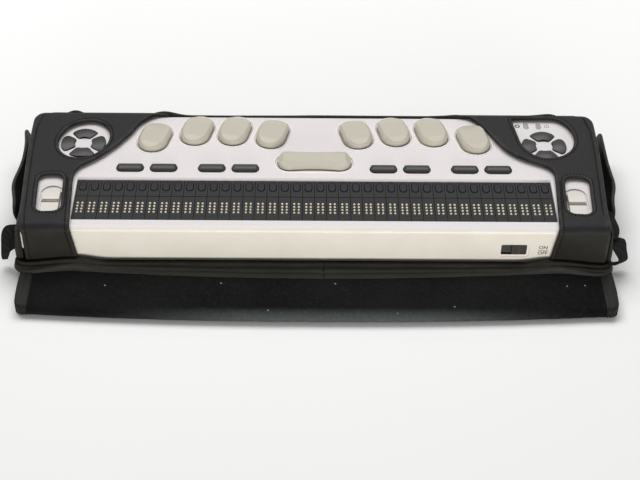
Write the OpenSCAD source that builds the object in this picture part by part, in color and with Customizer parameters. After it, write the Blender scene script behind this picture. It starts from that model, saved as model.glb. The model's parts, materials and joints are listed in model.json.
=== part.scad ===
// Braille display with a chord keyboard, lying in a leather case whose cover is folded back under it.
// Millimetres, X to the right, Y to the back, Z up.
// The origin lies on the table, under the middle of the device.

/* [Braille line] */
// Number of braille cells
cells = 40; // [39:1:48]
// Pitch of the cells
cell_pitch = 6.4; // [6.3:0.05:6.8]
// Depth of the dot part of a cell cap
cell_d = 20; // [19:0.5:24]
// Depth of the routing-key part of a cell cap
routing_d = 13.2; // [12.6:0.1:16]
// Distance from the front face to the opening of the line
line_front = 8.1; // [6:0.1:14]
// Depth of the line below the top face
line_recess = 1.5; // [0.8:0.1:2]
// Bevel round the opening of the line
line_bevel = 0.7; // [0.3:0.1:1.2]
// Thickness of a cell cap
cap_t = 2.5; // [2:0.1:3]
// Gap between neighbouring caps, and round the whole line
cap_gap = 0.25; // [0.2:0.05:0.35]
// Distance from a cap's front edge to the middle of its dots
dots_front = 10.5; // [9.5:0.1:11]
// Pitch of the dots within a cell
dot_pitch = 2.4; // [2.3:0.05:2.5]
// Diameter of a dot pin
dot_d = 1.3; // [1.1:0.05:1.4]
// Height of a raised dot
dot_rise = 0.7; // [0.5:0.05:0.9]
// Length of a pin below its cap
pin_tail = 1.2; // [0.8:0.1:1.6]
// Clearance round a pin
pin_clear = 0.15; // [0.12:0.01:0.18]
// Width of a routing key
routing_w = 3.5; // [3:0.1:4.2]
// Length of a routing key
routing_l = 7; // [5.5:0.1:7.4]
// Distance from the division of a cap to its routing key
routing_front = 4.7; // [4:0.1:5]
// Height of a routing key above its cap
routing_rise = 0.6; // [0.5:0.1:1.2]

/* [Shell] */
// Width of each end of the device, beside the braille line
end_w = 25; // [24:0.5:34]
// Height of the device
device_h = 21.8; // [21:0.1:28]
// Wall of the upper shell
shell_t = 2; // [1.6:0.1:2.4]
// Thickness of the base plate
base_t = 2; // [1.6:0.1:3]
// Corner radius of the device seen from above
device_r = 5.5; // [4:0.5:8]
// Rounding of the front and back top edges
edge_r = 2.6; // [1:0.1:3]
// Height of the locating ribs on the base plate
rim_h = 2.5; // [1.5:0.1:3]
// Radius of a screw boss
boss_r = 2.8; // [2.4:0.1:3.2]
// Radius of a screw's shank
screw_r = 1.2; // [1:0.05:1.4]
// Radius of a screw's head
screw_head_r = 2.3; // [2.1:0.1:2.6]
// Radius of a rubber foot
foot_r = 5; // [3:0.5:7]
// How far the feet stand out of the base plate
foot_h = 0.55; // [0.4:0.05:1.5]

/* [Braille keys] */
// Width of a braille key across its lean
key_w = 16; // [14:0.5:18]
// Length of a braille key along its lean
key_l = 24; // [20:0.5:28]
// Lean of the braille keys towards the middle, in degrees
key_lean = 14; // [4:1:20]
// Height of the braille keys above the top face
key_rise = 3.8; // [3:0.1:5]
// Travel of the braille keys and the space bar
key_travel = 2.2; // [1.5:0.1:2.5]
// Bevel along the top edge of the braille keys
key_bevel = 1.4; // [0.8:0.1:2]
// Gap between neighbouring braille keys
key_gap = 3.3; // [3:0.1:6]
// Gap between the two inner braille keys
key_mid_gap = 28.9; // [20:0.1:40]
// Extra gap before the outer braille keys
key_outer_gap = 2; // [0:0.1:6]
// How far the inner keys sit in front of the middle ones
key_inner_drop = 2.4; // [0:0.1:5]
// How far the outer keys sit in front of the middle ones
key_outer_drop = 6.1; // [3:0.1:8]
// Distance from the keys' back ends to the back of the device
key_back = 3.1; // [3:0.1:8]
// Width of the dished ring round a braille key or the space bar
ring_w = 1.4; // [1:0.1:1.4]
// Depth of that ring
ring_depth = 0.6; // [0.3:0.1:1]

/* [Space bar] */
// Width of the space bar
bar_w = 40.4; // [34:0.2:48]
// Depth of the space bar
bar_d = 13.2; // [11:0.2:16]
// Height of the space bar above the top face
bar_rise = 3.6; // [2.5:0.1:5]
// How far the space bar's long edges are hollowed
bar_dip = 1; // [0.4:0.1:1.4]
// Distance from the braille line to the space bar
bar_front = 7.9; // [7:0.1:12]
// Distance from the space bar to the inner braille keys
bar_key_gap = 6.3; // [4:0.1:10]

/* [Function keys] */
// Width of a function key
fkey_w = 14.8; // [12:0.2:16]
// Depth of a function key
fkey_d = 6.4; // [5:0.2:7.4]
// Height of a function key's ridge above the top face
fkey_rise = 1.6; // [1:0.1:2.4]
// Distance from the braille line to the function keys
fkey_front = 5.8; // [5.4:0.1:10]
// Gap from the space bar to the first function key
fkey_bar_gap = 10.2; // [6:0.1:12]
// Gap between the two keys of a pair
fkey_gap = 3.5; // [3:0.1:6]
// Gap between the pairs
fkey_pair_gap = 11.5; // [5:0.1:13]
// Travel of the function keys
fkey_travel = 1; // [0.6:0.1:1.5]

/* [Pads and scroll keys] */
// Outer radius of a four-way pad
pad_r = 12.2; // [11:0.1:12.8]
// Radius of a pad's fixed middle
pad_hub = 5; // [4:0.1:6]
// Width of the web between two pad keys
pad_web = 2.4; // [2.2:0.1:3.4]
// Corner radius of a pad key
pad_corner = 1.6; // [1:0.1:2]
// Height of a pad key's crown above the top face
pad_rise = 1.4; // [1:0.1:1.5]
// Travel of the pad keys and scroll keys
pad_travel = 0.8; // [0.5:0.1:1]
// Distance from the end of the device to the middle of the pad
pad_from_end = 24.5; // [22:0.1:28]
// Distance from the back of the device to the middle of the pad
pad_from_back = 26.5; // [24:0.1:30]
// Width of a scroll key
scroll_w = 9.2; // [8:0.1:10]
// Length of a scroll key
scroll_l = 11.2; // [10.5:0.1:11.6]
// Slot between the two scroll keys
scroll_gap = 1.7; // [1.6:0.1:2.4]
// Height of the scroll keys above the top face
scroll_rise = 1.6; // [1:0.1:1.7]
// Margin of the recess round the scroll keys
scroll_margin = 1.6; // [1.2:0.1:2.4]
// Depth of that recess
scroll_recess = 0.8; // [0.4:0.1:1.1]
// Distance from the end of the device to the middle of the scroll keys
scroll_from_end = 12.7; // [12:0.1:14]
// Distance from the front of the device to the scroll keys
scroll_front = 9.1; // [8.6:0.1:11]
// Width of a status light
light_w = 2.4; // [1.6:0.1:3]
// Length of a status light
light_l = 5.5; // [4:0.1:7]
// Spacing of the two status lights
light_pitch = 7; // [5:0.1:9]
// Distance from the middle of the pad back to the status lights
light_back = 18.5; // [17.5:0.1:19]
// Clearance round every key
key_clear = 0.3; // [0.25:0.05:0.4]
// Overlap of a key's retaining flange under the shell
flange_w = 0.5; // [0.4:0.05:0.6]
// Thickness of a retaining flange
flange_t = 1; // [0.8:0.1:1.2]
// Gap left under the shell, above a retaining flange and over a pressed switch
stop_gap = 0.3; // [0.25:0.05:0.5]

/* [Front and ends] */
// Width of the power slider's slot
power_w = 13.6; // [11:0.2:18]
// Height of the power slider's slot
power_h = 6.8; // [5:0.2:9]
// Travel of the power slider
power_travel = 5.4; // [3:0.1:6]
// Distance from the end of the device to the middle of the power slider
power_from_end = 47.5; // [42:0.5:70]
// Distance from the top face to the middle of the power slider
power_drop = 13.6; // [11:0.1:14.5]
// Distance from the back of the device to the USB socket or the card socket
usb_from_back = 42; // [38:0.5:44]
// Distance from the back of the device to the power socket
jack_from_back = 25; // [20:0.5:28]
// Width of the card socket's slot
card_w = 24.4; // [20:0.2:26]

/* [Inside] */
// Thickness of the main board
board_t = 1.6; // [1:0.1:2]
// Height of a key switch
switch_h = 1; // [0.6:0.1:1.5]
// Length of a braille key's stem
stem_l = 0.6; // [0.4:0.1:1]
// Length of a cell's actuator module
module_l = 78; // [70:1:82]
// Length of the battery pack
battery_l = 34; // [20:1:36]

/* [Case] */
// Thickness of the case's leather
leather_t = 2; // [1.6:0.1:2.6]
// Gap between the device and the case's walls
case_gap = 0.5; // [0.4:0.1:1]
// Thickness of a shoulder panel
sheet_t = 1.8; // [1.4:0.1:2.4]
// Gap between the top face and a shoulder panel
sheet_gap = 1; // [0.9:0.1:1.6]
// Bend radius of a shoulder over the front edge
bend_r = 4; // [3.2:0.1:4.2]
// Corner radius at the front of the case
case_front_r = 3; // [2:0.5:5]
// Width of a shoulder behind the braille line, from the end of the device
shoulder_w = 22.8; // [22.2:0.1:23.4]
// How much wider a shoulder is at the front bend
shoulder_taper = 2.4; // [1:0.1:2.6]
// How far a shoulder's lower front corner reaches inwards
shoulder_slant = 3.7; // [2:0.1:8]
// How far a shoulder's back corner reaches in past the middle of the outer key
shoulder_key = 3.3; // [1:0.1:5]
// How far the shoulders stand out over the side walls at the back
sheet_flare = 3; // [0.5:0.1:4]
// Slit between a side wall and the front of a shoulder
slit_w = 1.6; // [1:0.1:2.4]
// How far the back wall dips between the shoulders
wall_dip = 1.2; // [0.4:0.1:2]
// Width of the window over the scroll keys
scroll_window_w = 13.8; // [13.4:0.1:14.6]
// Length of the window over the scroll keys
scroll_window_l = 31.4; // [30:0.1:32.4]
// Half the length of the oval window over the left pad
oval_l = 16.8; // [16:0.1:18]
// Half the width of the oval window over the left pad
oval_w = 13.6; // [13.4:0.1:14.4]
// Lean of the oval window, in degrees
oval_lean = 17; // [12:1:20]
// Width of the strap loops
loop_w = 8; // [5:0.5:10]
// How far the strap loops stand out
loop_out = 12.5; // [9:0.5:14]
// Height of the strap loops
loop_h = 19.5; // [15:0.5:21]
// Length of a side flap
flap_l = 72; // [68:1:76]
// Height of a side flap
flap_h = 17; // [15:0.5:19]
// Thickness of a side flap
flap_t = 1.8; // [1.4:0.1:2.2]
// Lean of a side flap away from the case, in degrees
flap_lean = 22; // [10:1:28]
// Radius of the bead along a leather hinge
bead_r = 1.2; // [1:0.1:1.3]

/* [Cover] */
// Thickness of the cover
cover_t = 3; // [2.4:0.1:4]
// Gap between the folded layers
layer_gap = 0.25; // [0.25:0.05:0.5]
// How far the cover's ends stand out past the case
cover_over = 0.2; // [0:0.1:2]
// Gap between the keys and the closed cover
cover_clear = 2.7; // [2:0.1:8]
// How far the closed cover stands out past the back of the case
panel_over = 1.1; // [0:0.1:4]
// Corner radius of the main panel
panel_r = 10; // [4:0.5:16]
// Distance from the case's front to the cover's hinge
hinge_out = 2.8; // [2.4:0.1:4]
// Thickness of the strip sewn along the hinge
strip_t = 1.6; // [1:0.1:2]
// Width of that strip at its ends
strip_w = 3.4; // [2:0.1:6]
// How far the strip bows out in the middle
strip_bow = 6; // [0:0.1:8]
// Thickness of the lining round the soft fold
lining_t = 1; // [0.6:0.1:1.2]

/* [Hidden] */
$fn = 48;
CUT = 1;
CURVE_STEPS = 24;
LIGHTS = [0, 1];
HANDS = [-1, 1];

// Plan of the device
key_span = key_l - key_w;
key_dx = key_w + key_span * sin(key_lean);
key_dy = key_w + key_span * cos(key_lean);
line_d = cell_d + routing_d;
keyboard_d = bar_front + bar_d + bar_key_gap + key_dy + key_inner_drop + key_back;
device_d = line_front + line_d + keyboard_d;
line_hw = cells * cell_pitch / 2;
device_hl = line_hw + end_w;
y_front = -device_d / 2;
y_back = device_d / 2;
y_line = y_front + line_front;
y_split = y_line + cell_d;
y_line_end = y_line + line_d;

// Heights, counted from the table
z_case = cover_t + layer_gap;
z_floor = z_case + leather_t;
z_base = z_floor + foot_h;
z_in = z_base + base_t;
z_top = z_base + device_h;
z_ceiling = z_top - shell_t;
z_cap = z_top - line_recess;
z_cap_under = z_cap - cap_t;
z_flange = z_ceiling - stop_gap - flange_t;
z_switch = z_flange - stem_l - key_travel - stop_gap;
z_board = z_switch - switch_h - board_t;
z_sheet = z_top + sheet_gap;
z_wall = z_sheet + sheet_t;
z_power = z_top - power_drop;

// Braille keys, from the middle outwards, then named by their dots from left to right
key_pitch = key_dx + key_gap;
key_first = (key_mid_gap + key_dx) / 2;
key_x_out = [for (i = [0 : 3]) key_first + i * key_pitch + (i == 3 ? key_outer_gap : 0)];
key_drops = [key_inner_drop, 0, 0, key_outer_drop];
key_y_mid = y_back - key_back - key_dy / 2;
function key_side(i) = i < 4 ? -1 : 1;
function key_rank(i) = i < 4 ? 3 - i : i - 4;
function key_at(i) = [key_side(i) * key_x_out[key_rank(i)], key_y_mid - key_drops[key_rank(i)]];
key_crease = 0.22;
key_front_drop = 1.1;
key_back_drop = 2.5;

// Space bar and function keys
bar_y = y_line_end + bar_front + bar_d / 2;
bar_reach = (bar_w - bar_d) / 2;
bar_hollow_r = (pow(bar_reach, 2) + pow(bar_dip, 2)) / (2 * bar_dip);
fkey_y = y_line_end + fkey_front + fkey_d / 2;
fkey_first = bar_w / 2 + fkey_bar_gap + fkey_w / 2;
fkey_pair = fkey_w + fkey_gap;
fkey_next = fkey_pair + fkey_w + fkey_pair_gap;
fkey_x_out = [fkey_first, fkey_first + fkey_pair, fkey_first + fkey_next, fkey_first + fkey_next + fkey_pair];
function fkey_x(i) = key_side(i) * fkey_x_out[key_rank(i)];
fkey_ridge_r = 5.5;

// Pads, scroll keys and status lights
pad_x = device_hl - pad_from_end;
pad_y = y_back - pad_from_back;
pad_mid = (pad_hub + pad_r) / 2;
pad_half = pad_mid * PI / 4 - pad_web / 2;
pad_crown_r = 20;
scroll_x = device_hl - scroll_from_end;
scroll_r = scroll_w / 2;
scroll_y = y_front + scroll_front;
scroll_y_up = scroll_y + scroll_l + scroll_gap;
scroll_mid = scroll_y + scroll_l + scroll_gap / 2;
scroll_span = 2 * scroll_l + scroll_gap - scroll_w;
light_in = 8.2;
light_x = pad_x - light_in;
light_y = pad_y + light_back;

// Front and ends
power_x = device_hl - power_from_end;
power_knob_w = power_w - 2 * key_clear - power_travel;
power_rest = power_travel / 2;
power_r = 0.8;
power_step = 1.3;
power_step_d = 0.5;
power_lip = 1.2;
power_plate_w = power_w + power_travel + 2 * power_lip;
jack_r = 4;
board_clear = 0.2;
z_socket = z_board - jack_r - board_clear;
usb_y = y_back - usb_from_back;
jack_y = y_back - jack_from_back;
socket_l = 9;
socket_flange = 1;
socket_margin = 1.8;
usb_size = [9.4, 5.6];
usb_mouth = [7.8, 4];
usb_tongue = [5.4, 1.2];
jack_bore_r = 2.9;
jack_pin_r = 0.8;
card_h = 3.6;
card_wall = 0.8;
socket_clear = 0.15;
port_margin = 4;

// Inside
inner_margin = shell_t + 4;
boss_in = 7;
boss_bore_l = 8;
screw_clear = 0.05;
head_h = 1;
post_d = 3.5;
post_back = 4;
post_past = 2;
pocket_clear = 0.5;
z_pocket = z_cap_under - pin_tail - dot_rise - pocket_clear;
board_front = y_line_end + 3;
module_gap = 0.5;

// Case and cover
case_hw = device_hl + case_gap + leather_t;
case_hd = device_d / 2 + case_gap + leather_t;
case_r = device_r + case_gap + leather_t;
y_wall = case_hd - case_r;
edge_x = device_hl - shoulder_w;
front_edge_x = edge_x - shoulder_taper;
front_end_x = case_hw - leather_t - slit_w;
shoulder_top = [key_x_out[3] - shoulder_key, case_hd];
shoulder_pull = [17.7, -18.3];
shoulder_waist = [key_x_out[3] + 12.9, pad_y - 2.5];
shoulder_knee = [pad_x - 13.3, pad_y - 13.2];
shoulder_turn = [7.6, -6.2];
shoulder_end = [edge_x, -8];
shoulder_rise = [0, 11.8];
shoulder_upper = [shoulder_top, shoulder_top + shoulder_pull, shoulder_waist, shoulder_knee];
shoulder_lower = [shoulder_knee, shoulder_knee + shoulder_turn, shoulder_end + shoulder_rise, shoulder_end];
sheet_front = [case_hw - 0.9, bend_r - case_hd];
sheet_back = [case_hw + sheet_flare, y_wall];
sheet_side = [sheet_front, [case_hw + 0.2, -20], [case_hw + sheet_flare, 5], sheet_back];
window_out = 1;
window_front = 10.8;
window_lean = 3.6;
window_r = 4.6;
window_x = scroll_x + window_out;
window_y = y_front + window_front + scroll_window_l / 2;
oval_mid = [0.4, 1.3];
hinge_y = -case_hd - hinge_out;
hinge_z = z_case + cover_t;
hinge_bead = 1.6;
hinge_clear = 0.4;
fold_z = cover_t + layer_gap / 2;
spine_l = z_top + key_rise + cover_clear + fold_z - hinge_z;
panel_l = case_hd + panel_over + hinge_z - fold_z - hinge_y;
fold_y = hinge_y - spine_l;
fold_r = fold_z;
fold_clear = 0.3;
cover_hw = case_hw + cover_over;
loop_y = -case_hd + loop_w / 2 + 2;
loop_z = z_case + 1.2;
loop_scale = 0.72;
flap_y = y_back - flap_l / 2 - 3;
flap_x = case_hw + bead_r + 0.3;
flap_z = z_case + bead_r + 0.6;
flap_corner = 5;

// Names of the nodes
KEY_NODES = [for (d = [7, 3, 2, 1, 4, 5, 6, 8]) str("key_dot_", d)];
FKEY_NODES = [for (i = [1 : 8]) str("function_key_", i)];
SIDES = ["left", "right"];
WAYS = ["up", "left", "down", "right"];
PAD_NODES = [for (s = SIDES) for (w = WAYS) str(s, "_pad_", w)];
SCROLL_NODES = [for (s = SIDES) for (w = ["up", "down"]) str(s, "_scroll_", w)];

// Colours
shell_colour = "#dedadc";
key_colour = "#c6c0b0";
black_colour = "#1c1c1e";
cell_colour = "#3a393b";
dot_colour = "#ece6d2";
leather_colour = "#2b2b2c";
lining_colour = "#151515";
metal_colour = "#b9bcc0";

// A point on a cubic curve, and the whole curve
function curve_point(p, t) = pow(1 - t, 3) * p[0] + 3 * t * pow(1 - t, 2) * p[1]
    + 3 * t * t * (1 - t) * p[2] + pow(t, 3) * p[3];
function curve(p) = [for (i = [0 : CURVE_STEPS]) curve_point(p, i / CURVE_STEPS)];

// A quarter circle of radius r about c, starting at angle a
function corner(c, r, a) = [for (i = [0 : 8]) c + r * [cos(a + 90 * i / 8), sin(a + 90 * i / 8)]];

// An upright rectangle, with one radius for its back corners and one for its front corners
function plan_points(hw, hd, r_back, r_front) = concat(
    corner([hw - r_back, hd - r_back], r_back, 0), corner([r_back - hw, hd - r_back], r_back, 90),
    corner([r_front - hw, r_front - hd], r_front, 180), corner([hw - r_front, r_front - hd], r_front, 270)
);
module plan(hw, hd, r_back, r_front) {
    polygon(plan_points(hw, hd, r_back, r_front));
}

// A pill outline along Y
module pill(r, span) {
    for (s = HANDS) translate([0, s * span / 2]) circle(r);
    square([2 * r, span], center = true);
}

// A solid on the pill outline that narrows from radius r0 to r1 over the height h
module pill_taper(span, r0, r1, h) {
    for (s = HANDS) translate([0, s * span / 2, 0]) cylinder(r1 = r0, r2 = r1, h = h);
    rotate([90, 0, 0])
        linear_extrude(span, center = true)
            polygon([[-r0, 0], [r0, 0], [r1, h], [-r1, h]]);
}

// A profile drawn in Y and Z, run along X
module along_x(length) {
    rotate([90, 0, 90]) linear_extrude(length, center = true) children();
}

// A profile drawn in X and Z, run along Y from y0 to y1
module along_y(y0, y1) {
    translate([0, y1, 0]) rotate([90, 0, 0]) linear_extrude(y1 - y0) children();
}

module at_level(z) {
    translate([0, 0, z]) children();
}

// Outline of the space bar, grown by g
module bar_outline(g) {
    difference() {
        rotate(90) pill(bar_d / 2 + g, 2 * bar_reach);
        for (s = HANDS)
            translate([0, s * (bar_d / 2 - bar_dip + bar_hollow_r)]) circle(bar_hollow_r - g, $fn = 180);
    }
}

// Outline of a pad key that points along +Y, grown by g
function pad_point(u, v) = v * [sin(u / pad_mid * 180 / PI), cos(u / pad_mid * 180 / PI)];
function pad_round(s, v, c, u, a) = [for (i = [0 : 6])
    pad_point(s * (u - c) + c * cos(a + 15 * i), v + c * sin(a + 15 * i))];
function pad_edge(u, v) = [for (i = [1 : 7]) pad_point(u * (1 - i / 4), v)];
function pad_outline(g) = let (
    u = pad_half + g, c = pad_corner + g, inner = pad_hub - g, outer = pad_r + g
) concat(
    pad_round(1, outer - c, c, u, 0), pad_edge(u - c, outer), pad_round(-1, outer - c, c, u, 90),
    pad_round(-1, inner + c, c, u, 180), pad_edge(c - u, inner), pad_round(1, inner + c, c, u, 270)
);

// Outline of a scroll key, flat at y = 0 and round at its other end, grown by g
module scroll_outline(g) {
    translate([0, scroll_l - scroll_r]) circle(scroll_r + g);
    translate([-scroll_r - g, -g]) square([2 * (scroll_r + g), scroll_l - scroll_r + g]);
}
module scroll_place(side, up) {
    translate([side * scroll_x, up ? scroll_y_up : scroll_y + scroll_l])
        rotate(up ? 0 : 180)
            children();
}
module pad_place(side, way) {
    translate([side * pad_x, pad_y]) rotate(90 * way) children();
}
module key_place(i) {
    translate(key_at(i)) rotate(key_side(i) * key_lean) children();
}
module light_place(i) {
    translate([light_x + i * light_pitch, light_y]) children();
}
module boss_places() {
    for (sx = HANDS, sy = HANDS)
        translate([sx * (device_hl - boss_in), sy * (y_back - boss_in)]) children();
}
module cell_places() {
    for (i = [0 : cells - 1]) translate([(i + 0.5) * cell_pitch - line_hw, 0]) children();
}
module dot_places() {
    for (c = HANDS, r = [-3 : 2 : 3])
        translate([c * dot_pitch / 2, y_line + dots_front + r * dot_pitch / 2]) children();
}

// The device's outer form, from the base plate's top to the top face
module device_form() {
    intersection() {
        at_level(z_in) linear_extrude(z_top - z_in) plan(device_hl, y_back, device_r, device_r);
        along_x(2 * device_hl) {
            translate([y_front, z_in]) square([device_d, z_top - edge_r - z_in]);
            translate([y_front + edge_r, z_in]) square([device_d - 2 * edge_r, z_top - z_in]);
            for (s = HANDS) translate([s * (y_back - edge_r), z_top - edge_r]) circle(edge_r);
        }
    }
}

// Wells of the braille keys, each with its dished ring
module key_wells() {
    r = key_w / 2 + key_clear;
    spread = (ring_w - key_clear) * (ring_depth + CUT) / ring_depth;
    for (i = [0 : 7]) key_place(i) {
        at_level(z_ceiling - CUT) linear_extrude(shell_t + 2 * CUT) pill(r, key_span);
        at_level(z_top - ring_depth) pill_taper(key_span, r, r + spread, ring_depth + CUT);
    }
}

module bar_well() {
    translate([0, bar_y]) {
        at_level(z_ceiling - CUT) linear_extrude(shell_t + 2 * CUT) bar_outline(key_clear);
        at_level(z_top - ring_depth) linear_extrude(ring_depth + CUT) bar_outline(ring_w);
    }
}

// Slots through the top face for the smaller keys and the lights
module small_wells() {
    at_level(z_ceiling - CUT) linear_extrude(shell_t + 2 * CUT) {
        for (i = [0 : 7])
            translate([fkey_x(i), fkey_y]) rotate(90) pill(fkey_d / 2 + key_clear, fkey_w - fkey_d);
        for (s = HANDS, w = [0 : 3]) pad_place(s, w) polygon(pad_outline(key_clear));
        for (s = HANDS, up = [true, false]) scroll_place(s, up) scroll_outline(key_clear);
        for (i = LIGHTS) light_place(i) pill(light_w / 2 + socket_clear, light_l - light_w);
    }
    for (s = HANDS)
        translate([s * scroll_x, scroll_mid, z_top - scroll_recess])
            linear_extrude(scroll_recess + CUT) pill(scroll_r + scroll_margin, scroll_span);
}

// Opening of the braille line, bevelled at its front and back
module line_opening() {
    y0 = y_line - cap_gap;
    y1 = y_line_end + cap_gap;
    along_x(2 * (line_hw + cap_gap))
        polygon([
            [y0, z_ceiling - CUT], [y1, z_ceiling - CUT], [y1, z_top - line_bevel],
            [y1 + line_bevel + CUT, z_top + CUT], [y0 - line_bevel - CUT, z_top + CUT],
            [y0, z_top - line_bevel]
        ]);
}

// Slot for the power slider, in a stepped surround
module power_opening() {
    r = power_r + power_step;
    translate([power_x, 0, z_power]) {
        along_y(y_front - CUT, y_front + shell_t + CUT) plan(power_w / 2, power_h / 2, power_r, power_r);
        along_y(y_front - CUT, y_front + power_step_d)
            plan(power_w / 2 + power_step, power_h / 2 + power_step, r, r);
    }
}

// A rectangle centred on the origin, w along Y and h along Z, run inwards from an end of the device
module end_block(side, depth0, depth1, w, h) {
    x0 = device_hl - depth1;
    translate([side * (x0 + (depth1 - depth0) / 2), 0, 0]) cube([depth1 - depth0, w, h], center = true);
}
module end_round(side, depth0, depth1, r) {
    x0 = device_hl - depth1;
    translate([side * (x0 + (depth1 - depth0) / 2), 0, 0])
        rotate([0, 90, 0])
            cylinder(r = r, h = depth1 - depth0, center = true);
}
module socket_openings() {
    grow = 2 * socket_clear;
    translate([0, usb_y, z_socket]) {
        end_block(-1, -CUT, shell_t + CUT, usb_size[0] + grow, usb_size[1] + grow);
        end_block(1, -CUT, shell_t + CUT, card_w + 2 * card_wall + grow, card_h + grow);
    }
    translate([0, jack_y, z_socket]) end_round(-1, -CUT, shell_t + CUT, jack_r + socket_clear);
}

module top_shell() {
    color(shell_colour) {
        difference() {
            device_form();
            at_level(z_in - CUT)
                linear_extrude(z_ceiling - z_in + CUT)
                    plan(device_hl - shell_t, y_back - shell_t, device_r - shell_t, device_r - shell_t);
            key_wells();
            bar_well();
            small_wells();
            line_opening();
            power_opening();
            socket_openings();
        }
        boss_places() difference() {
            at_level(z_in) cylinder(r = boss_r, h = z_ceiling - z_in);
            at_level(z_in - CUT) cylinder(r = screw_r + screw_clear, h = boss_bore_l + CUT);
        }
    }
}

// The base plate, with a locating rib inside the front wall and one inside the back wall
module bottom_shell() {
    rim_t = 1.4;
    rim_y = y_back - shell_t - 0.1 - rim_t / 2;
    notch = power_plate_w + 2 * power_travel;
    color(key_colour) difference() {
        union() {
            at_level(z_base) linear_extrude(base_t) plan(device_hl, y_back, device_r, device_r);
            for (s = HANDS)
                translate([0, s * rim_y, z_in + rim_h / 2])
                    cube([2 * device_hl - 4 * boss_in, rim_t, rim_h], center = true);
        }
        translate([power_x - notch / 2, y_front, z_in]) cube([notch, boss_in, rim_h + CUT]);
        boss_places() {
            at_level(z_base - CUT) cylinder(r = screw_r + screw_clear, h = base_t + 2 * CUT);
            at_level(z_base - CUT) cylinder(r = screw_head_r + screw_clear, h = head_h + CUT);
        }
    }
}

module base_screws() {
    color(metal_colour) boss_places() {
        at_level(z_base) cylinder(r = screw_head_r, h = head_h);
        at_level(z_base) cylinder(r = screw_r, h = base_t + boss_bore_l - CUT);
    }
}

module device_feet() {
    color(black_colour)
        for (sx = HANDS, sy = HANDS)
            translate([sx * (device_hl - 4 * foot_r), sy * (y_back - 2.5 * foot_r), z_floor])
                cylinder(r = foot_r, h = foot_h);
}

// One cap to a cell: eight pin holes, a routing-key hole and a groove between the two parts
module braille_cells() {
    groove = 0.4;
    color(cell_colour) cell_places() difference() {
        translate([(cap_gap - cell_pitch) / 2, y_line, z_cap_under])
            cube([cell_pitch - cap_gap, line_d, cap_t]);
        dot_places() at_level(z_cap_under - CUT)
            cylinder(r = dot_d / 2 + pin_clear, h = cap_t + 2 * CUT, $fn = 24);
        translate([0, y_split + routing_front + routing_l / 2, z_cap_under - CUT])
            linear_extrude(cap_t + 2 * CUT) pill(routing_w / 2 + key_clear, routing_l - routing_w);
        translate([-cell_pitch / 2, y_split - groove / 2, z_cap - groove])
            cube([cell_pitch, groove, groove + CUT]);
    }
}

// Pins with round tips, all raised
module dot_pins() {
    r = dot_d / 2;
    length = cap_t + pin_tail + dot_rise;
    color(dot_colour) cell_places() dot_places() at_level(z_cap_under - pin_tail)
        rotate_extrude($fn = 24) {
            square([r, length - r]);
            intersection() {
                translate([0, length - r]) circle(r);
                square([r, length]);
            }
        }
}

// Routing keys, highest at the front and retained under the caps
module routing_keys() {
    r = routing_w / 2;
    span = routing_l - routing_w;
    color(cell_colour) cell_places() translate([0, y_split + routing_front + routing_l / 2, 0]) {
        intersection() {
            at_level(z_cap_under - stop_gap) linear_extrude(cap_t + stop_gap + routing_rise) pill(r, span);
            along_x(2 * cell_pitch)
                polygon([
                    [-routing_l, 0], [-routing_l / 2, z_cap + routing_rise * 0.6],
                    [-routing_l / 4, z_cap + routing_rise], [routing_l / 2, z_cap + 0.2], [routing_l, 0]
                ]);
        }
        at_level(z_cap_under - stop_gap - flange_t)
            linear_extrude(flange_t)
                pill(r + key_clear + 0.2, span);
    }
}

// A braille key: bevelled cap with a creased top, a retaining flange and a stem
module braille_key(i) {
    r = key_w / 2;
    half = key_l / 2;
    crease_y = key_crease * key_l;
    color(key_colour) key_place(i) {
        intersection() {
            union() {
                at_level(z_flange) linear_extrude(z_top + key_rise - key_bevel - z_flange) pill(r, key_span);
                at_level(z_top + key_rise - key_bevel) pill_taper(key_span, r, r - key_bevel, key_bevel);
            }
            along_x(2 * key_l)
                polygon([
                    [-key_l, 0], [-key_l, z_top], [-half, z_top + key_rise - key_front_drop],
                    [-half + r / 2, z_top + key_rise], [crease_y, z_top + key_rise - 0.2],
                    [half, z_top + key_rise - key_back_drop], [key_l, z_top], [key_l, 0]
                ]);
        }
        at_level(z_flange) linear_extrude(flange_t) pill(r + key_clear + flange_w, key_span);
        at_level(z_flange - stem_l) cylinder(r = r / 2, h = stem_l + flange_t);
    }
}

// The space bar, hollowed along its long edges, with sloping front and ends
module space_bar() {
    top = z_top + bar_rise;
    end = bar_w / 2;
    half = bar_d / 2;
    color(key_colour) translate([0, bar_y, 0]) {
        intersection() {
            at_level(z_flange) linear_extrude(top - z_flange) bar_outline(0);
            along_x(2 * bar_w)
                polygon([
                    [-bar_d, 0], [-bar_d, z_top + 0.6], [-half, z_top + bar_rise * 0.5],
                    [-half / 3, top - 0.1], [half * 0.6, top], [half, top - 0.9], [bar_d, z_top], [bar_d, 0]
                ]);
            along_y(-bar_d, bar_d)
                polygon([
                    [-end - CUT, 0], [end + CUT, 0], [end + CUT, z_top + bar_rise * 0.3],
                    [end - half / 2, top], [half / 2 - end, top], [-end - CUT, z_top + bar_rise * 0.3]
                ]);
        }
        at_level(z_flange) linear_extrude(flange_t) bar_outline(key_clear + flange_w);
        at_level(z_flange - stem_l) cylinder(r = bar_d / 4, h = stem_l + flange_t);
    }
}

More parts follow.
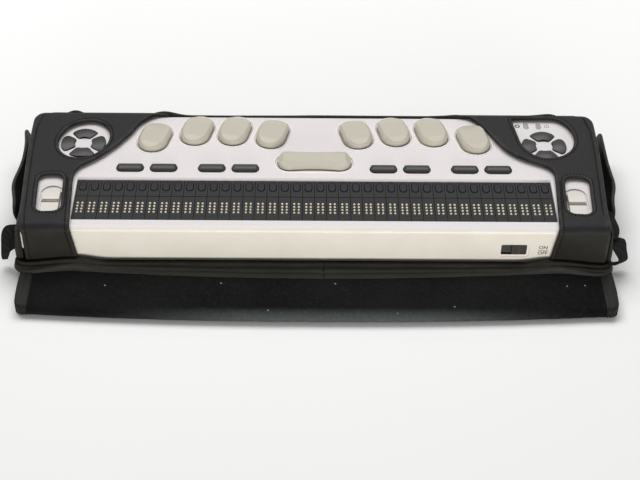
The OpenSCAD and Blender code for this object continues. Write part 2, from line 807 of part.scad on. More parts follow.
// A function key: a short bar with a rounded ridge and sloping ends
module function_key(i) {
    r = fkey_d / 2;
    top = z_top + fkey_rise;
    end = fkey_w / 2;
    low = z_switch + fkey_travel + stop_gap;
    color(black_colour) translate([fkey_x(i), fkey_y, 0]) {
        intersection() {
            at_level(z_flange) linear_extrude(top - z_flange) rotate(90) pill(r, fkey_w - fkey_d);
            union() {
                along_x(2 * fkey_w) translate([0, top - fkey_ridge_r]) circle(fkey_ridge_r);
                at_level(z_flange - CUT)
                    linear_extrude(z_top - z_flange)
                        square([2 * fkey_w, 2 * fkey_w], center = true);
            }
            along_y(-fkey_d, fkey_d)
                polygon([
                    [-fkey_w, 0], [fkey_w, 0], [end, z_top + 0.4], [end - r / 2, top], [r / 2 - end, top],
                    [-end, z_top + 0.4]
                ]);
        }
        at_level(z_flange)
            linear_extrude(flange_t)
                rotate(90) pill(r + key_clear + flange_w, fkey_w - fkey_d);
        at_level(low) cylinder(r = r / 2, h = z_flange - low + CUT / 2);
    }
}

// A pad key: a rounded sector with a crowned top
module pad_key(side, way) {
    low = z_switch + pad_travel + stop_gap;
    color(black_colour) pad_place(side, way) {
        intersection() {
            at_level(z_flange) linear_extrude(z_top + pad_rise - z_flange) polygon(pad_outline(0));
            translate([0, pad_mid, z_top + pad_rise - pad_crown_r]) sphere(pad_crown_r);
        }
        at_level(z_flange) linear_extrude(flange_t) polygon(pad_outline(key_clear + flange_w));
        translate([0, pad_mid, low]) cylinder(r = 1.5, h = z_flange - low + CUT / 2);
    }
}

// A scroll key: flat at the slot, round at its far end, and highest at the slot
module scroll_key(side, up) {
    top = z_top + (up ? scroll_rise : scroll_rise / 2);
    low = z_switch + pad_travel + stop_gap;
    color(key_colour) scroll_place(side, up) {
        intersection() {
            at_level(z_flange) linear_extrude(top - z_flange) scroll_outline(0);
            along_x(2 * scroll_w)
                polygon([
                    [-CUT, 0], [-CUT, top - 0.3], [CUT, top], [scroll_l / 2, top - 0.2],
                    [scroll_l + CUT, z_top - 0.1], [scroll_l + CUT, 0]
                ]);
        }
        at_level(z_flange) linear_extrude(flange_t) scroll_outline(key_clear + flange_w / 2);
        translate([0, scroll_l / 2, low]) cylinder(r = scroll_r / 3, h = z_flange - low + CUT / 2);
    }
}

// The power slider: a ribbed thumb pad on a backing plate behind the front wall
module power_slider() {
    knob_h = power_h - 2 * key_clear;
    rib = 0.5;
    plate_y = y_front + shell_t + stop_gap;
    color(black_colour) translate([power_x + power_rest, 0, z_power]) {
        difference() {
            along_y(y_front + power_step_d / 2, plate_y + 0.5)
                plan(power_knob_w / 2, knob_h / 2, power_r - key_clear, power_r - key_clear);
            for (s = HANDS, i = [1 : 3])
                translate([s * i * power_knob_w / 8, 0, 0])
                    along_y(y_front - CUT, y_front + power_step_d / 2 + rib)
                        square([rib, power_h], center = true);
        }
        along_y(plate_y, plate_y + flange_t)
            square([power_plate_w, power_h + 2 * power_lip], center = true);
    }
}

module status_lights() {
    r = light_w / 2;
    span = light_l - light_w;
    color("#c9ccc6") for (i = LIGHTS) light_place(i) {
        at_level(z_ceiling) linear_extrude(shell_t) pill(r, span);
        at_level(z_ceiling - flange_t) linear_extrude(flange_t) pill(r + flange_w + socket_clear, span);
    }
}

// The main board, under the keyboard and forward along both ends
module main_board() {
    outer = device_hl - inner_margin;
    back = y_back - inner_margin;
    arm_front = y_front + inner_margin;
    color("#2f6b45") at_level(z_board) linear_extrude(board_t) difference() {
        union() {
            translate([-outer, board_front]) square([2 * outer, back - board_front]);
            for (s = HANDS)
                translate([s * (outer + line_hw + 2) / 2, (arm_front + board_front + CUT) / 2])
                    square([outer - line_hw - 2, board_front + CUT - arm_front], center = true);
        }
        boss_places() circle(boss_r + 0.4);
    }
}

// One low switch under each key
module key_switches() {
    color(metal_colour) at_level(z_board + board_t) {
        for (i = [0 : 7]) key_place(i) cylinder(r = key_w / 4, h = switch_h);
        translate([0, bar_y]) cylinder(r = bar_d / 4, h = switch_h);
        for (i = [0 : 7]) translate([fkey_x(i), fkey_y]) cylinder(r = fkey_d / 3, h = switch_h);
        for (s = HANDS, w = [0 : 3]) pad_place(s, w) translate([0, pad_mid]) cylinder(r = 1.8, h = switch_h);
        for (s = HANDS, up = [true, false])
            scroll_place(s, up) translate([0, scroll_l / 2]) cylinder(r = scroll_r / 2, h = switch_h);
    }
}

// One actuator module under each cell: posts that carry the cap, a pocket for the pins, the benders behind
module cell_actuators() {
    y1 = y_line + post_d;
    y2 = y_split - post_back;
    y3 = y_split + post_past;
    y4 = y_line_end + CUT;
    y5 = y_line + module_l;
    color("#8a8578") cell_places() along_x(cell_pitch - module_gap)
        polygon([
            [y_line, z_in], [y_line, z_cap_under], [y1, z_cap_under], [y1, z_pocket], [y2, z_pocket],
            [y2, z_cap_under], [y3, z_cap_under], [y3, z_pocket], [y4, z_pocket], [y4, z_board],
            [y5, z_board], [y5, z_in]
        ]);
}

module battery_pack() {
    outer = device_hl - inner_margin;
    inner = line_hw + 2;
    hd = battery_l / 2;
    color("#3c4660")
        translate([-(outer + inner) / 2, y_front + 2 * boss_in + hd, z_in])
            linear_extrude(z_board - z_in)
                plan((outer - inner) / 2, hd, 3, 3);
}

module usb_socket() {
    margin = 2 * socket_margin;
    color(metal_colour) translate([0, usb_y, z_socket]) {
        difference() {
            end_block(-1, 0, socket_l, usb_size[0], usb_size[1]);
            end_block(-1, -CUT, socket_l - 1.5, usb_mouth[0], usb_mouth[1]);
        }
        end_block(-1, 1.5, socket_l - 1, usb_tongue[0], usb_tongue[1]);
        difference() {
            end_block(-1, shell_t, shell_t + socket_flange, usb_size[0] + margin, usb_size[1] + margin);
            end_block(-1, 0, socket_l, usb_size[0] - 0.4, usb_size[1] - 0.4);
        }
    }
}

module power_socket() {
    color(black_colour) translate([0, jack_y, z_socket]) {
        difference() {
            union() {
                end_round(-1, 0, socket_l, jack_r);
                end_round(-1, shell_t, shell_t + socket_flange, jack_r + socket_margin);
            }
            end_round(-1, -CUT, socket_l - 1.5, jack_bore_r);
        }
        end_round(-1, 1.5, socket_l - 1, jack_pin_r);
    }
}

module card_socket() {
    margin = 2 * socket_margin;
    w = card_w + 2 * card_wall;
    color(metal_colour) translate([0, usb_y, z_socket]) difference() {
        union() {
            end_block(1, 0, socket_l, w, card_h);
            end_block(1, shell_t, shell_t + socket_flange, w + margin, card_h + margin);
        }
        end_block(1, -CUT, socket_l - 1, card_w, card_h - 2 * card_wall);
    }
}

// Outer plan of the leather case
module case_plan() {
    plan(case_hw, case_hd, case_r, case_front_r);
}

module case_bottom() {
    color(leather_colour) at_level(z_case) linear_extrude(leather_t) case_plan();
}

// The back wall, a little lower between the shoulders
module case_back_wall() {
    dip_hw = shoulder_top[0] - leather_t;
    color(leather_colour) difference() {
        at_level(z_floor) linear_extrude(z_sheet - z_floor) intersection() {
            difference() {
                case_plan();
                plan(case_hw - leather_t, case_hd - leather_t, case_r - leather_t, case_front_r);
            }
            translate([-case_hw, y_wall]) square([2 * case_hw, case_r]);
        }
        translate([-dip_hw, y_wall, z_sheet - wall_dip]) cube([2 * dip_hw, case_r + CUT, wall_dip + CUT]);
    }
}

// A side wall with a window for the sockets
module case_side(side) {
    y0 = -case_hd + leather_t;
    low = side < 0 ? usb_y - usb_size[0] / 2 - port_margin : usb_y - card_w / 2 - port_margin;
    high = side < 0 ? jack_y + jack_r + port_margin : usb_y + card_w / 2 + port_margin;
    half_h = jack_r + port_margin / 2;
    color(leather_colour) difference() {
        at_level(z_floor) linear_extrude(z_sheet - z_floor) intersection() {
            case_plan();
            translate([side * (case_hw - leather_t / 2), (y0 + y_wall) / 2])
                square([leather_t, y_wall - y0], center = true);
        }
        translate([side * case_hw, (low + high) / 2, z_socket])
            rotate([90, 0, 90])
                linear_extrude(4 * leather_t, center = true)
                    plan((high - low) / 2, half_h, port_margin, port_margin);
    }
}

// The bent sheet that a shoulder is cut from, over the top and down the front
module shoulder_sheet() {
    along_x(2 * (case_hw + sheet_flare)) difference() {
        union() {
            translate([-case_hd, z_floor]) square([2 * case_hd, z_wall - bend_r - z_floor]);
            translate([bend_r - case_hd, z_floor]) square([2 * case_hd - bend_r, z_wall - z_floor]);
            translate([bend_r - case_hd, z_wall - bend_r]) circle(bend_r);
        }
        translate([leather_t - case_hd, z_floor - CUT]) square([2 * case_hd, z_sheet - z_floor + CUT]);
    }
}

// Plan of the right shoulder: its S-shaped inner edge, its front, and its outer edge that flares to the back
function shoulder_plan() = concat(
    curve(shoulder_upper), curve(shoulder_lower),
    [[front_edge_x, -case_hd], [front_edge_x, -case_hd - CUT], [front_end_x, -case_hd - CUT]],
    curve(sheet_side), corner(sheet_back - [case_r, 0], case_r, 0)
);

// Window over the right pad: straight at the back and on its inner side, round elsewhere
function window_right() = let (
    a = [-16.5, 22.6], b = [5.5, 22.6], c = [17, 5], d = [0, -13.2], e = [-13.4, 1.8]
) concat(
    [a], curve([b, b + [6.5, 0], c + [0, 9], c]), curve([c, c - [0, 11], d + [9, 0], d]),
    curve([d, d - [7, 0], e - [-1.2, 6.8], e])
);

// Window over the left pad: a leaning oval
function window_left() = [for (i = [0 : 47]) let (a = 7.5 * i, u = oval_l * cos(a), v = oval_w * sin(a))
    oval_mid + [u * sin(oval_lean) + v * cos(oval_lean), u * cos(oval_lean) - v * sin(oval_lean)]];

// The two windows of a shoulder, the pad's and the scroll keys'
module shoulder_windows(side) {
    at_level(z_sheet - CUT) linear_extrude(sheet_t + 2 * CUT) {
        translate([side * pad_x, pad_y]) polygon(side < 0 ? window_left() : window_right());
        translate([side * window_x, window_y]) rotate(-side * window_lean)
            plan(scroll_window_w / 2, scroll_window_l / 2, window_r, window_r);
    }
}

module shoulder(side) {
    flip = side < 0 ? 1 : 0;
    color(leather_colour) difference() {
        intersection() {
            shoulder_sheet();
            mirror([flip, 0, 0]) {
                at_level(z_floor) linear_extrude(z_wall - z_floor) polygon(shoulder_plan());
                along_y(-case_hd - CUT, leather_t - case_hd)
                    polygon([
                        [front_edge_x, z_wall - bend_r], [front_edge_x - shoulder_slant, z_floor],
                        [front_end_x, z_floor], [front_end_x, z_wall - bend_r]
                    ]);
            }
        }
        shoulder_windows(side);
    }
}

// Round welt along the cover's hinge, on a tongue from the case's floor
module hinge_welt() {
    length = 2 * (case_hw - case_front_r);
    color(leather_colour) {
        translate([0, hinge_y, hinge_z])
            rotate([0, 90, 0])
                cylinder(r = hinge_bead, h = length, center = true);
        along_x(length) translate([hinge_y, z_case + 0.2]) square([hinge_out, leather_t - 0.2]);
    }
}

// A webbing loop at a front corner
module strap_loop(side) {
    flip = side < 0 ? 1 : 0;
    corners = [[0, 0.05], [0.6, 0], [1, 0.3], [0.7, 1], [0, 0.95]];
    outer = [for (c = corners) [c[0] * loop_out, c[1] * loop_h]];
    middle = [0.46 * loop_out, 0.47 * loop_h];
    color(lining_colour) mirror([flip, 0, 0]) translate([case_hw, 0, loop_z])
        along_y(loop_y - loop_w / 2, loop_y + loop_w / 2) difference() {
            polygon(outer);
            translate(middle) scale(loop_scale) translate(-middle) polygon(outer);
        }
}

// A flap along a side of the case, leaning outwards from the bead that it turns on
module side_flap(side) {
    flip = side < 0 ? 1 : 0;
    color(leather_colour) mirror([flip, 0, 0]) translate([flap_x, flap_y, flap_z]) {
        rotate([90, 0, 0]) cylinder(r = bead_r, h = flap_l, center = true);
        rotate([0, flap_lean, 0]) rotate([90, 0, 90]) linear_extrude(flap_t, center = true)
            translate([0, flap_h / 2]) plan(flap_l / 2, flap_h / 2, flap_corner, bead_r / 2);
    }
}

// The cover's spine: from the hinge to the fold, mitred at the fold, with a bead on the fold's axis
module cover_spine() {
    back = hinge_y - hinge_bead - hinge_clear;
    low = layer_gap / 2;
    high = low + cover_t;
    color(lining_colour) {
        along_x(2 * cover_hw) translate([fold_y, fold_z])
            polygon([
                [low + fold_clear, low], [high + fold_clear, high], [back - fold_y, high],
                [back - fold_y, low]
            ]);
        translate([0, fold_y, fold_z])
            rotate([0, 90, 0])
                cylinder(r = bead_r, h = 2 * cover_hw, center = true);
    }
}

// The strip sewn over the spine along its hinge, bowed out in the middle
module hinge_strip() {
    hw = case_hw - case_front_r;
    back = hinge_y - hinge_bead - hinge_clear;
    color(leather_colour) at_level(hinge_z) linear_extrude(strip_t)
        polygon(concat(
            [[hw, back], [-hw, back]],
            [for (i = [-12 : 12]) [i / 12 * hw, back - strip_w - strip_bow * (1 - pow(i / 12, 2))]]
        ));
}

// The soft lining that runs round the fold from the spine towards the panel
module fold_nose() {
    inner = fold_r - lining_t;
    color(lining_colour) along_x(2 * cover_hw) translate([fold_y, fold_z]) {
        difference() {
            circle(fold_r);
            circle(inner);
            translate([0, -2 * fold_r]) square(4 * fold_r);
        }
        polygon([[0, inner], [inner + fold_clear, inner], [fold_r + fold_clear, fold_r], [0, fold_r]]);
        translate([0, -fold_r]) square([inner, lining_t]);
    }
}

// The cover's main panel, folded back under the case
module cover_panel() {
    low = layer_gap / 2;
    high = low + cover_t;
    start = bead_r + fold_clear;
    color(lining_colour) intersection() {
        along_x(2 * cover_hw) translate([fold_y, fold_z])
            polygon([
                [start, -low], [start, fold_clear - start], [high + fold_clear, -high], [panel_l, -high],
                [panel_l, -low]
            ]);
        at_level(-CUT) linear_extrude(cover_t + 2 * CUT)
            translate([0, fold_y + panel_l / 2]) plan(cover_hw, panel_l / 2, panel_r, 0.5);
    }
}

top_shell();
bottom_shell();
braille_cells();
dot_pins();
routing_keys();
for (i = [0 : 7]) braille_key(i);
space_bar();
for (i = [0 : 7]) function_key(i);
for (s = [0, 1], w = [0 : 3]) pad_key(HANDS[s], w);
for (s = [0, 1], d = [0, 1])
    scroll_key(HANDS[s], d == 0);
power_slider();
status_lights();
main_board();
key_switches();
cell_actuators();
battery_pack();
usb_socket();
power_socket();
card_socket();
base_screws();
device_feet();
case_bottom();
case_back_wall();
case_side(-1);  // case_left_side
case_side(1);  // case_right_side
shoulder(-1);  // left_shoulder
shoulder(1);  // right_shoulder
hinge_welt();
strap_loop(-1);  // left_strap_loop
strap_loop(1);  // right_strap_loop
side_flap(-1);  // left_side_flap
side_flap(1);  // right_side_flap
cover_spine();
hinge_strip();
fold_nose();
cover_panel();
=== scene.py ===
# %% [markdown]
# # A braille display in its leather case
#
# The object is a long braille display: forty eight-dot cells along the front, a chord keyboard behind
# them, and a four-way pad at each end. It lies in a leather case whose cover is folded back under it. The
# solid model already gives every piece its size and its joints. This script gives the pieces their looks.
# Hard pieces get soft edges and a finish, and soft pieces are made again here, because leather and fleece
# do not look like blocks.

# %% Load the frame
import json
import math

import bmesh
import bpy
import numpy as np
from mathutils import Matrix, Vector
from mathutils.geometry import convex_hull_2d, delaunay_2d_cdt

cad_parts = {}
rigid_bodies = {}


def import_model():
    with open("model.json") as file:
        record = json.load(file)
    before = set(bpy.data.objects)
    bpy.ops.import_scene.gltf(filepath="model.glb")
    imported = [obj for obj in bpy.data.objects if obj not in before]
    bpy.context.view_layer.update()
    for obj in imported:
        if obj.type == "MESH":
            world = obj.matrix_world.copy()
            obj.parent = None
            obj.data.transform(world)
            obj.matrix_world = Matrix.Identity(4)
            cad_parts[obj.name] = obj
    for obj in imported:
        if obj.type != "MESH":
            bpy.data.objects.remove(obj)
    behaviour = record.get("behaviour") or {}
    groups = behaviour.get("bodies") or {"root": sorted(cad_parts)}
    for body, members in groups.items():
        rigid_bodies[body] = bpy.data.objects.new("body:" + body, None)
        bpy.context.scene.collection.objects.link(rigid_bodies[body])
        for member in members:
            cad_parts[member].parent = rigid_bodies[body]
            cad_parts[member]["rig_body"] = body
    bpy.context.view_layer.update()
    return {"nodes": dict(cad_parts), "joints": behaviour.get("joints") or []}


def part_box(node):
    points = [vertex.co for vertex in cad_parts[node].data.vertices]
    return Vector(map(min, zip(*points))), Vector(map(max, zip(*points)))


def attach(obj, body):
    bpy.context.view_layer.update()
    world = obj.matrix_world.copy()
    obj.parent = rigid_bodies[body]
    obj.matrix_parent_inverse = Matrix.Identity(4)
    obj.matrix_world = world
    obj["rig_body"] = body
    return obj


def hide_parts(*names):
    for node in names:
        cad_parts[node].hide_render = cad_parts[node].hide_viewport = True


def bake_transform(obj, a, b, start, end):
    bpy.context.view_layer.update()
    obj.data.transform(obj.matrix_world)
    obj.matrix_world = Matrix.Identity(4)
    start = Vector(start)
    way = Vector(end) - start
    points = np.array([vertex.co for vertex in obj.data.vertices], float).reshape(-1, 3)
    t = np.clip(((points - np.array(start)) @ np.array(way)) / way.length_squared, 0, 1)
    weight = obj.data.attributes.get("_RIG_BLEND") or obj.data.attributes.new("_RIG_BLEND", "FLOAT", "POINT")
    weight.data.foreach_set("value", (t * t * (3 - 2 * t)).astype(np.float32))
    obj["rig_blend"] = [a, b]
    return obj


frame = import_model()
cad_nodes = frame["nodes"]
MM = 0.001
ROOT = "case_and_device"
SIDES = {"left": -1, "right": 1}

# %% [markdown]
# ## Sizes
#
# Lengths are written in millimetres and turned into metres when a mesh is made. Sizes that the solid
# model fixes are read from the boxes of its nodes, so that this script follows it.

# %% Sizes read from the frame
def span(node):
    """Lowest and highest corner of a CAD node, in millimetres."""
    return np.array(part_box(node)) / MM


def middle(*nodes):
    """Middle of the box round several CAD nodes, in millimetres."""
    boxes = [span(node) for node in nodes]
    return (np.min([b[0] for b in boxes], 0) + np.max([b[1] for b in boxes], 0)) / 2


CASE_X, CASE_Y, FLOOR = span("case_bottom")[1]
shell_low, shell_high = span("top_shell")
sheet_high = span("right_shoulder")[1]
spine_high = span("cover_spine")[1]
panel_high = span("cover_panel")[1]
SHEET_TOP, SHELL_TOP = sheet_high[2], shell_high[2]
AXIS = {j["name"]: np.array(j["pos_m"]) / MM for j in frame["joints"] if "pos_m" in j}
HINGE_Y, HINGE_Z = AXIS["cover_hinge"][1:]
FOLD_Y, FOLD_Z = AXIS["cover_fold"][1:]
print("case half width and depth:", round(CASE_X, 2), round(CASE_Y, 2), "hinge:", HINGE_Y, HINGE_Z)

# %% [markdown]
# ## Node trees as expressions
#
# A finish is a small network of nodes. It is easier to read as an expression, so a socket is wrapped in a
# class whose operators add Math nodes. All other nodes come from one method that takes the node's type,
# its settings and its sockets. Finishes, Geometry Nodes and the world are all written this way.

# %% Sockets with arithmetic
class Wire:
    """An output socket of a node tree, with arithmetic."""

    def __init__(self, graph, socket):
        self.graph, self.socket = graph, socket

    def math(self, kind, *values):
        return self.graph.node("ShaderNodeMath", {"operation": kind}, dict(enumerate(values)))

    def __add__(self, other):
        return self.math("ADD", self, other)

    def __radd__(self, other):
        return self.math("ADD", other, self)

    def __sub__(self, other):
        return self.math("SUBTRACT", self, other)

    def __rsub__(self, other):
        return self.math("SUBTRACT", other, self)

    def __mul__(self, other):
        return self.math("MULTIPLY", self, other)

    def __rmul__(self, other):
        return self.math("MULTIPLY", other, self)

    def step(self, low, high):
        """0 at low, 1 at high, smooth between."""
        return self.graph.node(
            "ShaderNodeMapRange", {"interpolation_type": "SMOOTHSTEP"}, {0: self, 1: low, 2: high})

    def band(self, low, high, soft):
        """1 between low and high, 0 outside, smooth over a width at both ends."""
        return self.step(low - soft, low) * (1 - self.step(high, high + soft))


class Graph:
    """A node tree, emptied, with one way to add nodes."""

    def __init__(self, tree):
        self.tree = tree
        tree.nodes.clear()

    def node(self, kind, settings=None, sockets=None, out=0):
        """Adds a node, sets it up, feeds its sockets, and returns one of its outputs."""
        made = self.tree.nodes.new(kind)
        for key, value in (settings or {}).items():
            setattr(made, key, value)
        for key, value in (sockets or {}).items():
            self.feed(made.inputs[key], value)
        return Wire(self, made.outputs[out])

    def feed(self, socket, value):
        """Links a Wire to a socket, or sets the socket to a plain value."""
        if isinstance(value, Wire):
            self.tree.links.new(value.socket, socket)
        else:
            socket.default_value = value


print("a socket can be added, subtracted, multiplied and stepped")

# %% A material of nodes
def shade(r, g, b):
    """A colour given as 0 to 255, as the screen shows it, in linear light."""
    return tuple(((v / 255 + 0.055) / 1.055) ** 2.4 if v > 10 else v / 255 / 12.92 for v in (r, g, b))


class Paint(Graph):
    """A procedural material round one Principled BSDF."""

    def __init__(self, name, **uniform):
        self.material = bpy.data.materials.new(name)
        self.material.use_nodes = True
        super().__init__(self.material.node_tree)
        out = self.tree.nodes.new("ShaderNodeOutputMaterial")
        self.shader = self.tree.nodes.new("ShaderNodeBsdfPrincipled")
        self.tree.links.new(self.shader.outputs[0], out.inputs["Surface"])
        self.place = self.node("ShaderNodeTexCoord", out="Object")
        self.set(**uniform)

    def set(self, **sockets):
        """Feeds the shader's own sockets; an underscore stands for a space."""
        for key, value in sockets.items():
            self.feed(self.shader.inputs[key.replace("_", " ")], value)

    def noise(self, scale, detail=3.0, rough=0.5, stretch=None):
        place = self.place
        if stretch:
            place = self.node("ShaderNodeVectorMath", {"operation": "MULTIPLY"}, {0: place, 1: stretch})
        sockets = {"Vector": place, "Scale": scale, "Detail": detail, "Roughness": rough}
        return self.node("ShaderNodeTexNoise", {}, sockets)

    def cells(self, scale, feature="F1", out="Distance", space="3D"):
        settings = {"feature": feature, "voronoi_dimensions": space}
        return self.node("ShaderNodeTexVoronoi", settings, {"Vector": self.place, "Scale": scale}, out)

    def wave(self, direction, scale, distortion=0.0):
        sockets = {"Vector": self.place, "Scale": scale, "Distortion": distortion}
        return self.node("ShaderNodeTexWave", {"bands_direction": direction}, sockets)

    def axis(self, name):
        return self.node("ShaderNodeSeparateXYZ", {}, {0: self.place}, name)

    def attribute(self, name):
        return self.node("ShaderNodeAttribute", {"attribute_name": name}, {}, "Fac")

    def mix(self, factor, a, b):
        """A mix of two colours, each a Wire or three numbers from 0 to 255."""
        a, b = (colour if isinstance(colour, Wire) else (*shade(*colour), 1) for colour in (a, b))
        return self.node("ShaderNodeMix", {"data_type": "RGBA"}, {"Factor": factor, 6: a, 7: b}, 2)

    def bump(self, height, strength, depth):
        """Normals from a height; depth in millimetres."""
        sockets = {"Height": height, "Strength": strength, "Distance": depth * MM}
        return self.node("ShaderNodeBump", {}, sockets)


print("shader classes ready")

# %% [markdown]
# ## Finishes of the device
#
# The upper shell is moulded in ABS and sprayed silver-white: very fine flakes and a satin surface. Its
# front face is tinted cream, a painted tint of the warm light that falls on it, and the walls inside the
# slider's slot are painted near black, a painted shade. The keys are beige ABS with a spark-eroded grain,
# the small keys are black and glossier, and the cell caps are a dull charcoal. Flakes and grain are noise
# at a fraction of a millimetre, so that they show only from near.

# %% Silver paint and moulded plastics
def silver_paint():
    """Flakes under a thin coat, a painted warm light tint on the front face, painted shade inside the
    slider's slot.
    """
    p = Paint("silver paint", IOR=1.46, Coat_Roughness=0.3)
    flakes = p.noise(5200, 2)
    cloud = p.noise(45, 3)
    # Painted light: the front face is tinted cream, a painted tint of the warm light that falls on it.
    front = 1 - p.axis("Y").step((shell_low[1] + 0.15) * MM, (shell_low[1] + 1.9) * MM)
    silver = p.mix(flakes.step(0.35, 0.75), (214, 208, 208), (231, 226, 226))
    front_light_tint = p.mix(cloud.step(0.3, 0.7), (228, 221, 205), (234, 228, 213))
    paint = p.mix(front * 0.85, silver, front_light_tint)
    # Painted shade: the walls inside the slider's slot are painted near black.
    low, high = span("power_slider") * MM
    face = shell_low[1] * MM
    slot = p.axis("X").band(low[0], high[0], 0.1 * MM) * p.axis("Z").band(low[2], high[2], 0.1 * MM)
    slot = slot * p.axis("Y").band(face + 0.75 * MM, face + 5 * MM, 0.2 * MM)
    p.set(Base_Color=p.mix(slot, paint, (30, 30, 31)), Roughness=0.34 + 0.1 * cloud + 0.06 * flakes)
    p.set(Normal=p.bump(flakes, 0.08, 0.02), Coat_Weight=0.15 + 0.1 * cloud)
    return p.material


def moulded(name, dark, light, rough, grain, coat=0.0, gloss=0.5):
    """Moulded plastic between two tones; grain is the depth of its erosion texture in millimetres."""
    p = Paint(name, IOR=1.47, Specular_IOR_Level=gloss)
    spark, cloud = p.noise(2600, 3, 0.6), p.noise(90, 3)
    p.set(Base_Color=p.mix(cloud * 0.7 + spark * 0.3, dark, light), Roughness=rough - 0.05 + 0.1 * cloud)
    p.set(Normal=p.bump(spark, 0.25, grain), Coat_Weight=coat * (0.7 + 0.5 * cloud))
    return p.material


def lamp_window():
    """A milky window with fine ribs across it."""
    p = Paint("lamp window", IOR=1.47, Roughness=0.3)
    ribs = p.wave("DIAGONAL", 420.0)
    p.set(Base_Color=p.mix(ribs.step(0.35, 0.65), (112, 112, 110), (186, 186, 183)))
    p.set(Normal=p.bump(ribs, 0.4, 0.05))
    return p.material


SILVER, LAMP = silver_paint(), lamp_window()
BEIGE = moulded("beige keys", (180, 174, 159), (193, 187, 172), 0.42, 0.03)
PALE = moulded("scroll keys", (216, 210, 201), (228, 223, 215), 0.4, 0.03)
BLACK = moulded("black keys", (15, 15, 16), (22, 22, 23), 0.36, 0.015, gloss=0.35)
GREY = moulded("slider", (62, 60, 57), (74, 72, 68), 0.4, 0.02)
CHARCOAL = moulded("cell caps", (40, 40, 41), (50, 49, 50), 0.55, 0.03, gloss=0.12)
ROUTING = moulded("routing keys", (28, 27, 31), (38, 37, 42), 0.5, 0.02, gloss=0.14)
CREAM = moulded("dot pins", (232, 224, 200), (244, 238, 218), 0.35, 0.005)
# Painted highlight: the rims round the keys are painted lighter than the shell.
RIM_HIGHLIGHT = moulded("worn rims", (236, 232, 231), (247, 244, 243), 0.3, 0.01)
BASE = moulded("base plate", (186, 181, 170), (198, 193, 182), 0.55, 0.05)
RUBBER = moulded("rubber feet", (20, 20, 20), (30, 30, 30), 0.8, 0.04)
INK = moulded("printed ink", (44, 43, 43), (56, 55, 55), 0.6, 0.002)
WRAP = moulded("battery sleeve", (36, 74, 128), (44, 84, 140), 0.3, 0.01, 0.3)
print("plastics:", len(bpy.data.materials))

# %% [markdown]
# ## Metal, board and actuators
#
# Inside are a green circuit board, tinned socket shells, steel screws and the ceramic strips of the piezo
# actuators. They show through the ports and in the moving poses, so each gets its own simple pattern.

# %% Finishes of the inner pieces
def brushed_metal(name, dark, light):
    """Metal with fine lines along X."""
    p = Paint(name, Metallic=1.0)
    lines = p.noise(700, 2, 0.6, (0.05, 1, 1))
    p.set(Base_Color=p.mix(lines, dark, light), Roughness=0.24 + 0.2 * lines, Normal=p.bump(lines, 0.1, 0.01))
    return p.material


def circuit_board():
    """Green lacquer with tracks and gilt pads."""
    p = Paint("circuit board", IOR=1.5, Roughness=0.35)
    tracks = p.cells(240, "DISTANCE_TO_EDGE").step(0.02, 0.05)
    pads = 1 - p.cells(420).step(0.16, 0.2)
    green = p.mix(tracks, (46, 104, 66), (20, 66, 40))
    p.set(Base_Color=p.mix(pads, green, (196, 178, 118)), Metallic=pads * 0.8)
    return p.material


def piezo_stack():
    """Ceramic strips, one over the other."""
    p = Paint("piezo strips", IOR=1.5)
    layers = p.wave("Z", 160.0)
    cloud = p.noise(200, 3)
    tone = p.mix(layers.step(0.3, 0.6), (120, 112, 96), (196, 188, 170))
    p.set(Base_Color=p.mix(cloud * 0.3, tone, (150, 140, 120)), Roughness=0.4 + 0.2 * cloud)
    return p.material


METAL = brushed_metal("tinned steel", (168, 171, 176), (204, 206, 210))
BOARD, PIEZO = circuit_board(), piezo_stack()
print("inner finishes:", METAL.name, BOARD.name, PIEZO.name)

# %% [markdown]
# ## Leather, fleece and webbing
#
# The case is semi-gloss charcoal leather with a fine pebble, worn a little brown on its edges. The wear
# is painted on each mesh as an attribute, from the distance to its cut edge, and the pebble comes from
# smooth Voronoi cells just under a millimetre across. The leather is tinted cooler and darker on top and
# warmer and lighter lower down, a painted tint of the light on top and in front. The lining is a short
# black fleece: very rough, with sheen, faint mottling and a few specks of lint, and a painted sheen, a
# paler band where the fold catches the light. The strap loops are woven webbing, and the thread of the
# seams is nearly black.

# %% Soft finishes
def leather():
    """Pebbled leather with a painted light tint, cooler on top and warmer lower down, worn brown where the
    wear attribute says.
    """
    p = Paint("leather", IOR=1.5, Specular_IOR_Level=0.11)
    pebble = p.cells(1250, "SMOOTH_F1")
    creases = p.noise(420, 5, 0.62)
    cloud = p.noise(34, 4)
    wear = p.attribute("wear") * p.noise(160, 4).step(0.32, 0.66)
    # Painted light: cooler and darker on top, warmer and lighter lower down, a tint of the light on top and
    # in front.
    top = p.axis("Z").step((SHEET_TOP - 6) * MM, SHEET_TOP * MM)
    top_light_tone = p.mix(cloud.step(0.25, 0.75), (23, 23, 25), (32, 32, 34))
    front_light_tone = p.mix(cloud.step(0.25, 0.75), (33, 32, 28), (43, 41, 36))
    tone = p.mix(pebble.step(0.45, 0.9) * 0.4, p.mix(top, front_light_tone, top_light_tone), (20, 20, 20))
    p.set(Base_Color=p.mix(wear * 0.4, tone, (84, 78, 71)))
    p.set(Roughness=0.4 + 0.14 * cloud + 0.14 * pebble - 0.05 * wear)
    p.set(Normal=p.bump((1 - pebble) * 0.6 + creases * 0.8, 0.42, 0.1))
    return p.material


def binding():
    """Darker leather with creases, worn along its ridge."""
    p = Paint("binding leather", IOR=1.5, Specular_IOR_Level=0.15)
    creases, cloud = p.noise(650, 5, 0.6), p.noise(60, 4)
    wear = p.attribute("wear") * cloud.step(0.3, 0.7)
    tone = p.mix(cloud.step(0.3, 0.7), (14, 13, 10), (23, 21, 17))
    p.set(Base_Color=p.mix(wear * 0.3, tone, (58, 54, 45)), Roughness=0.5 + 0.15 * cloud)
    p.set(Normal=p.bump(creases, 0.35, 0.08))
    return p.material


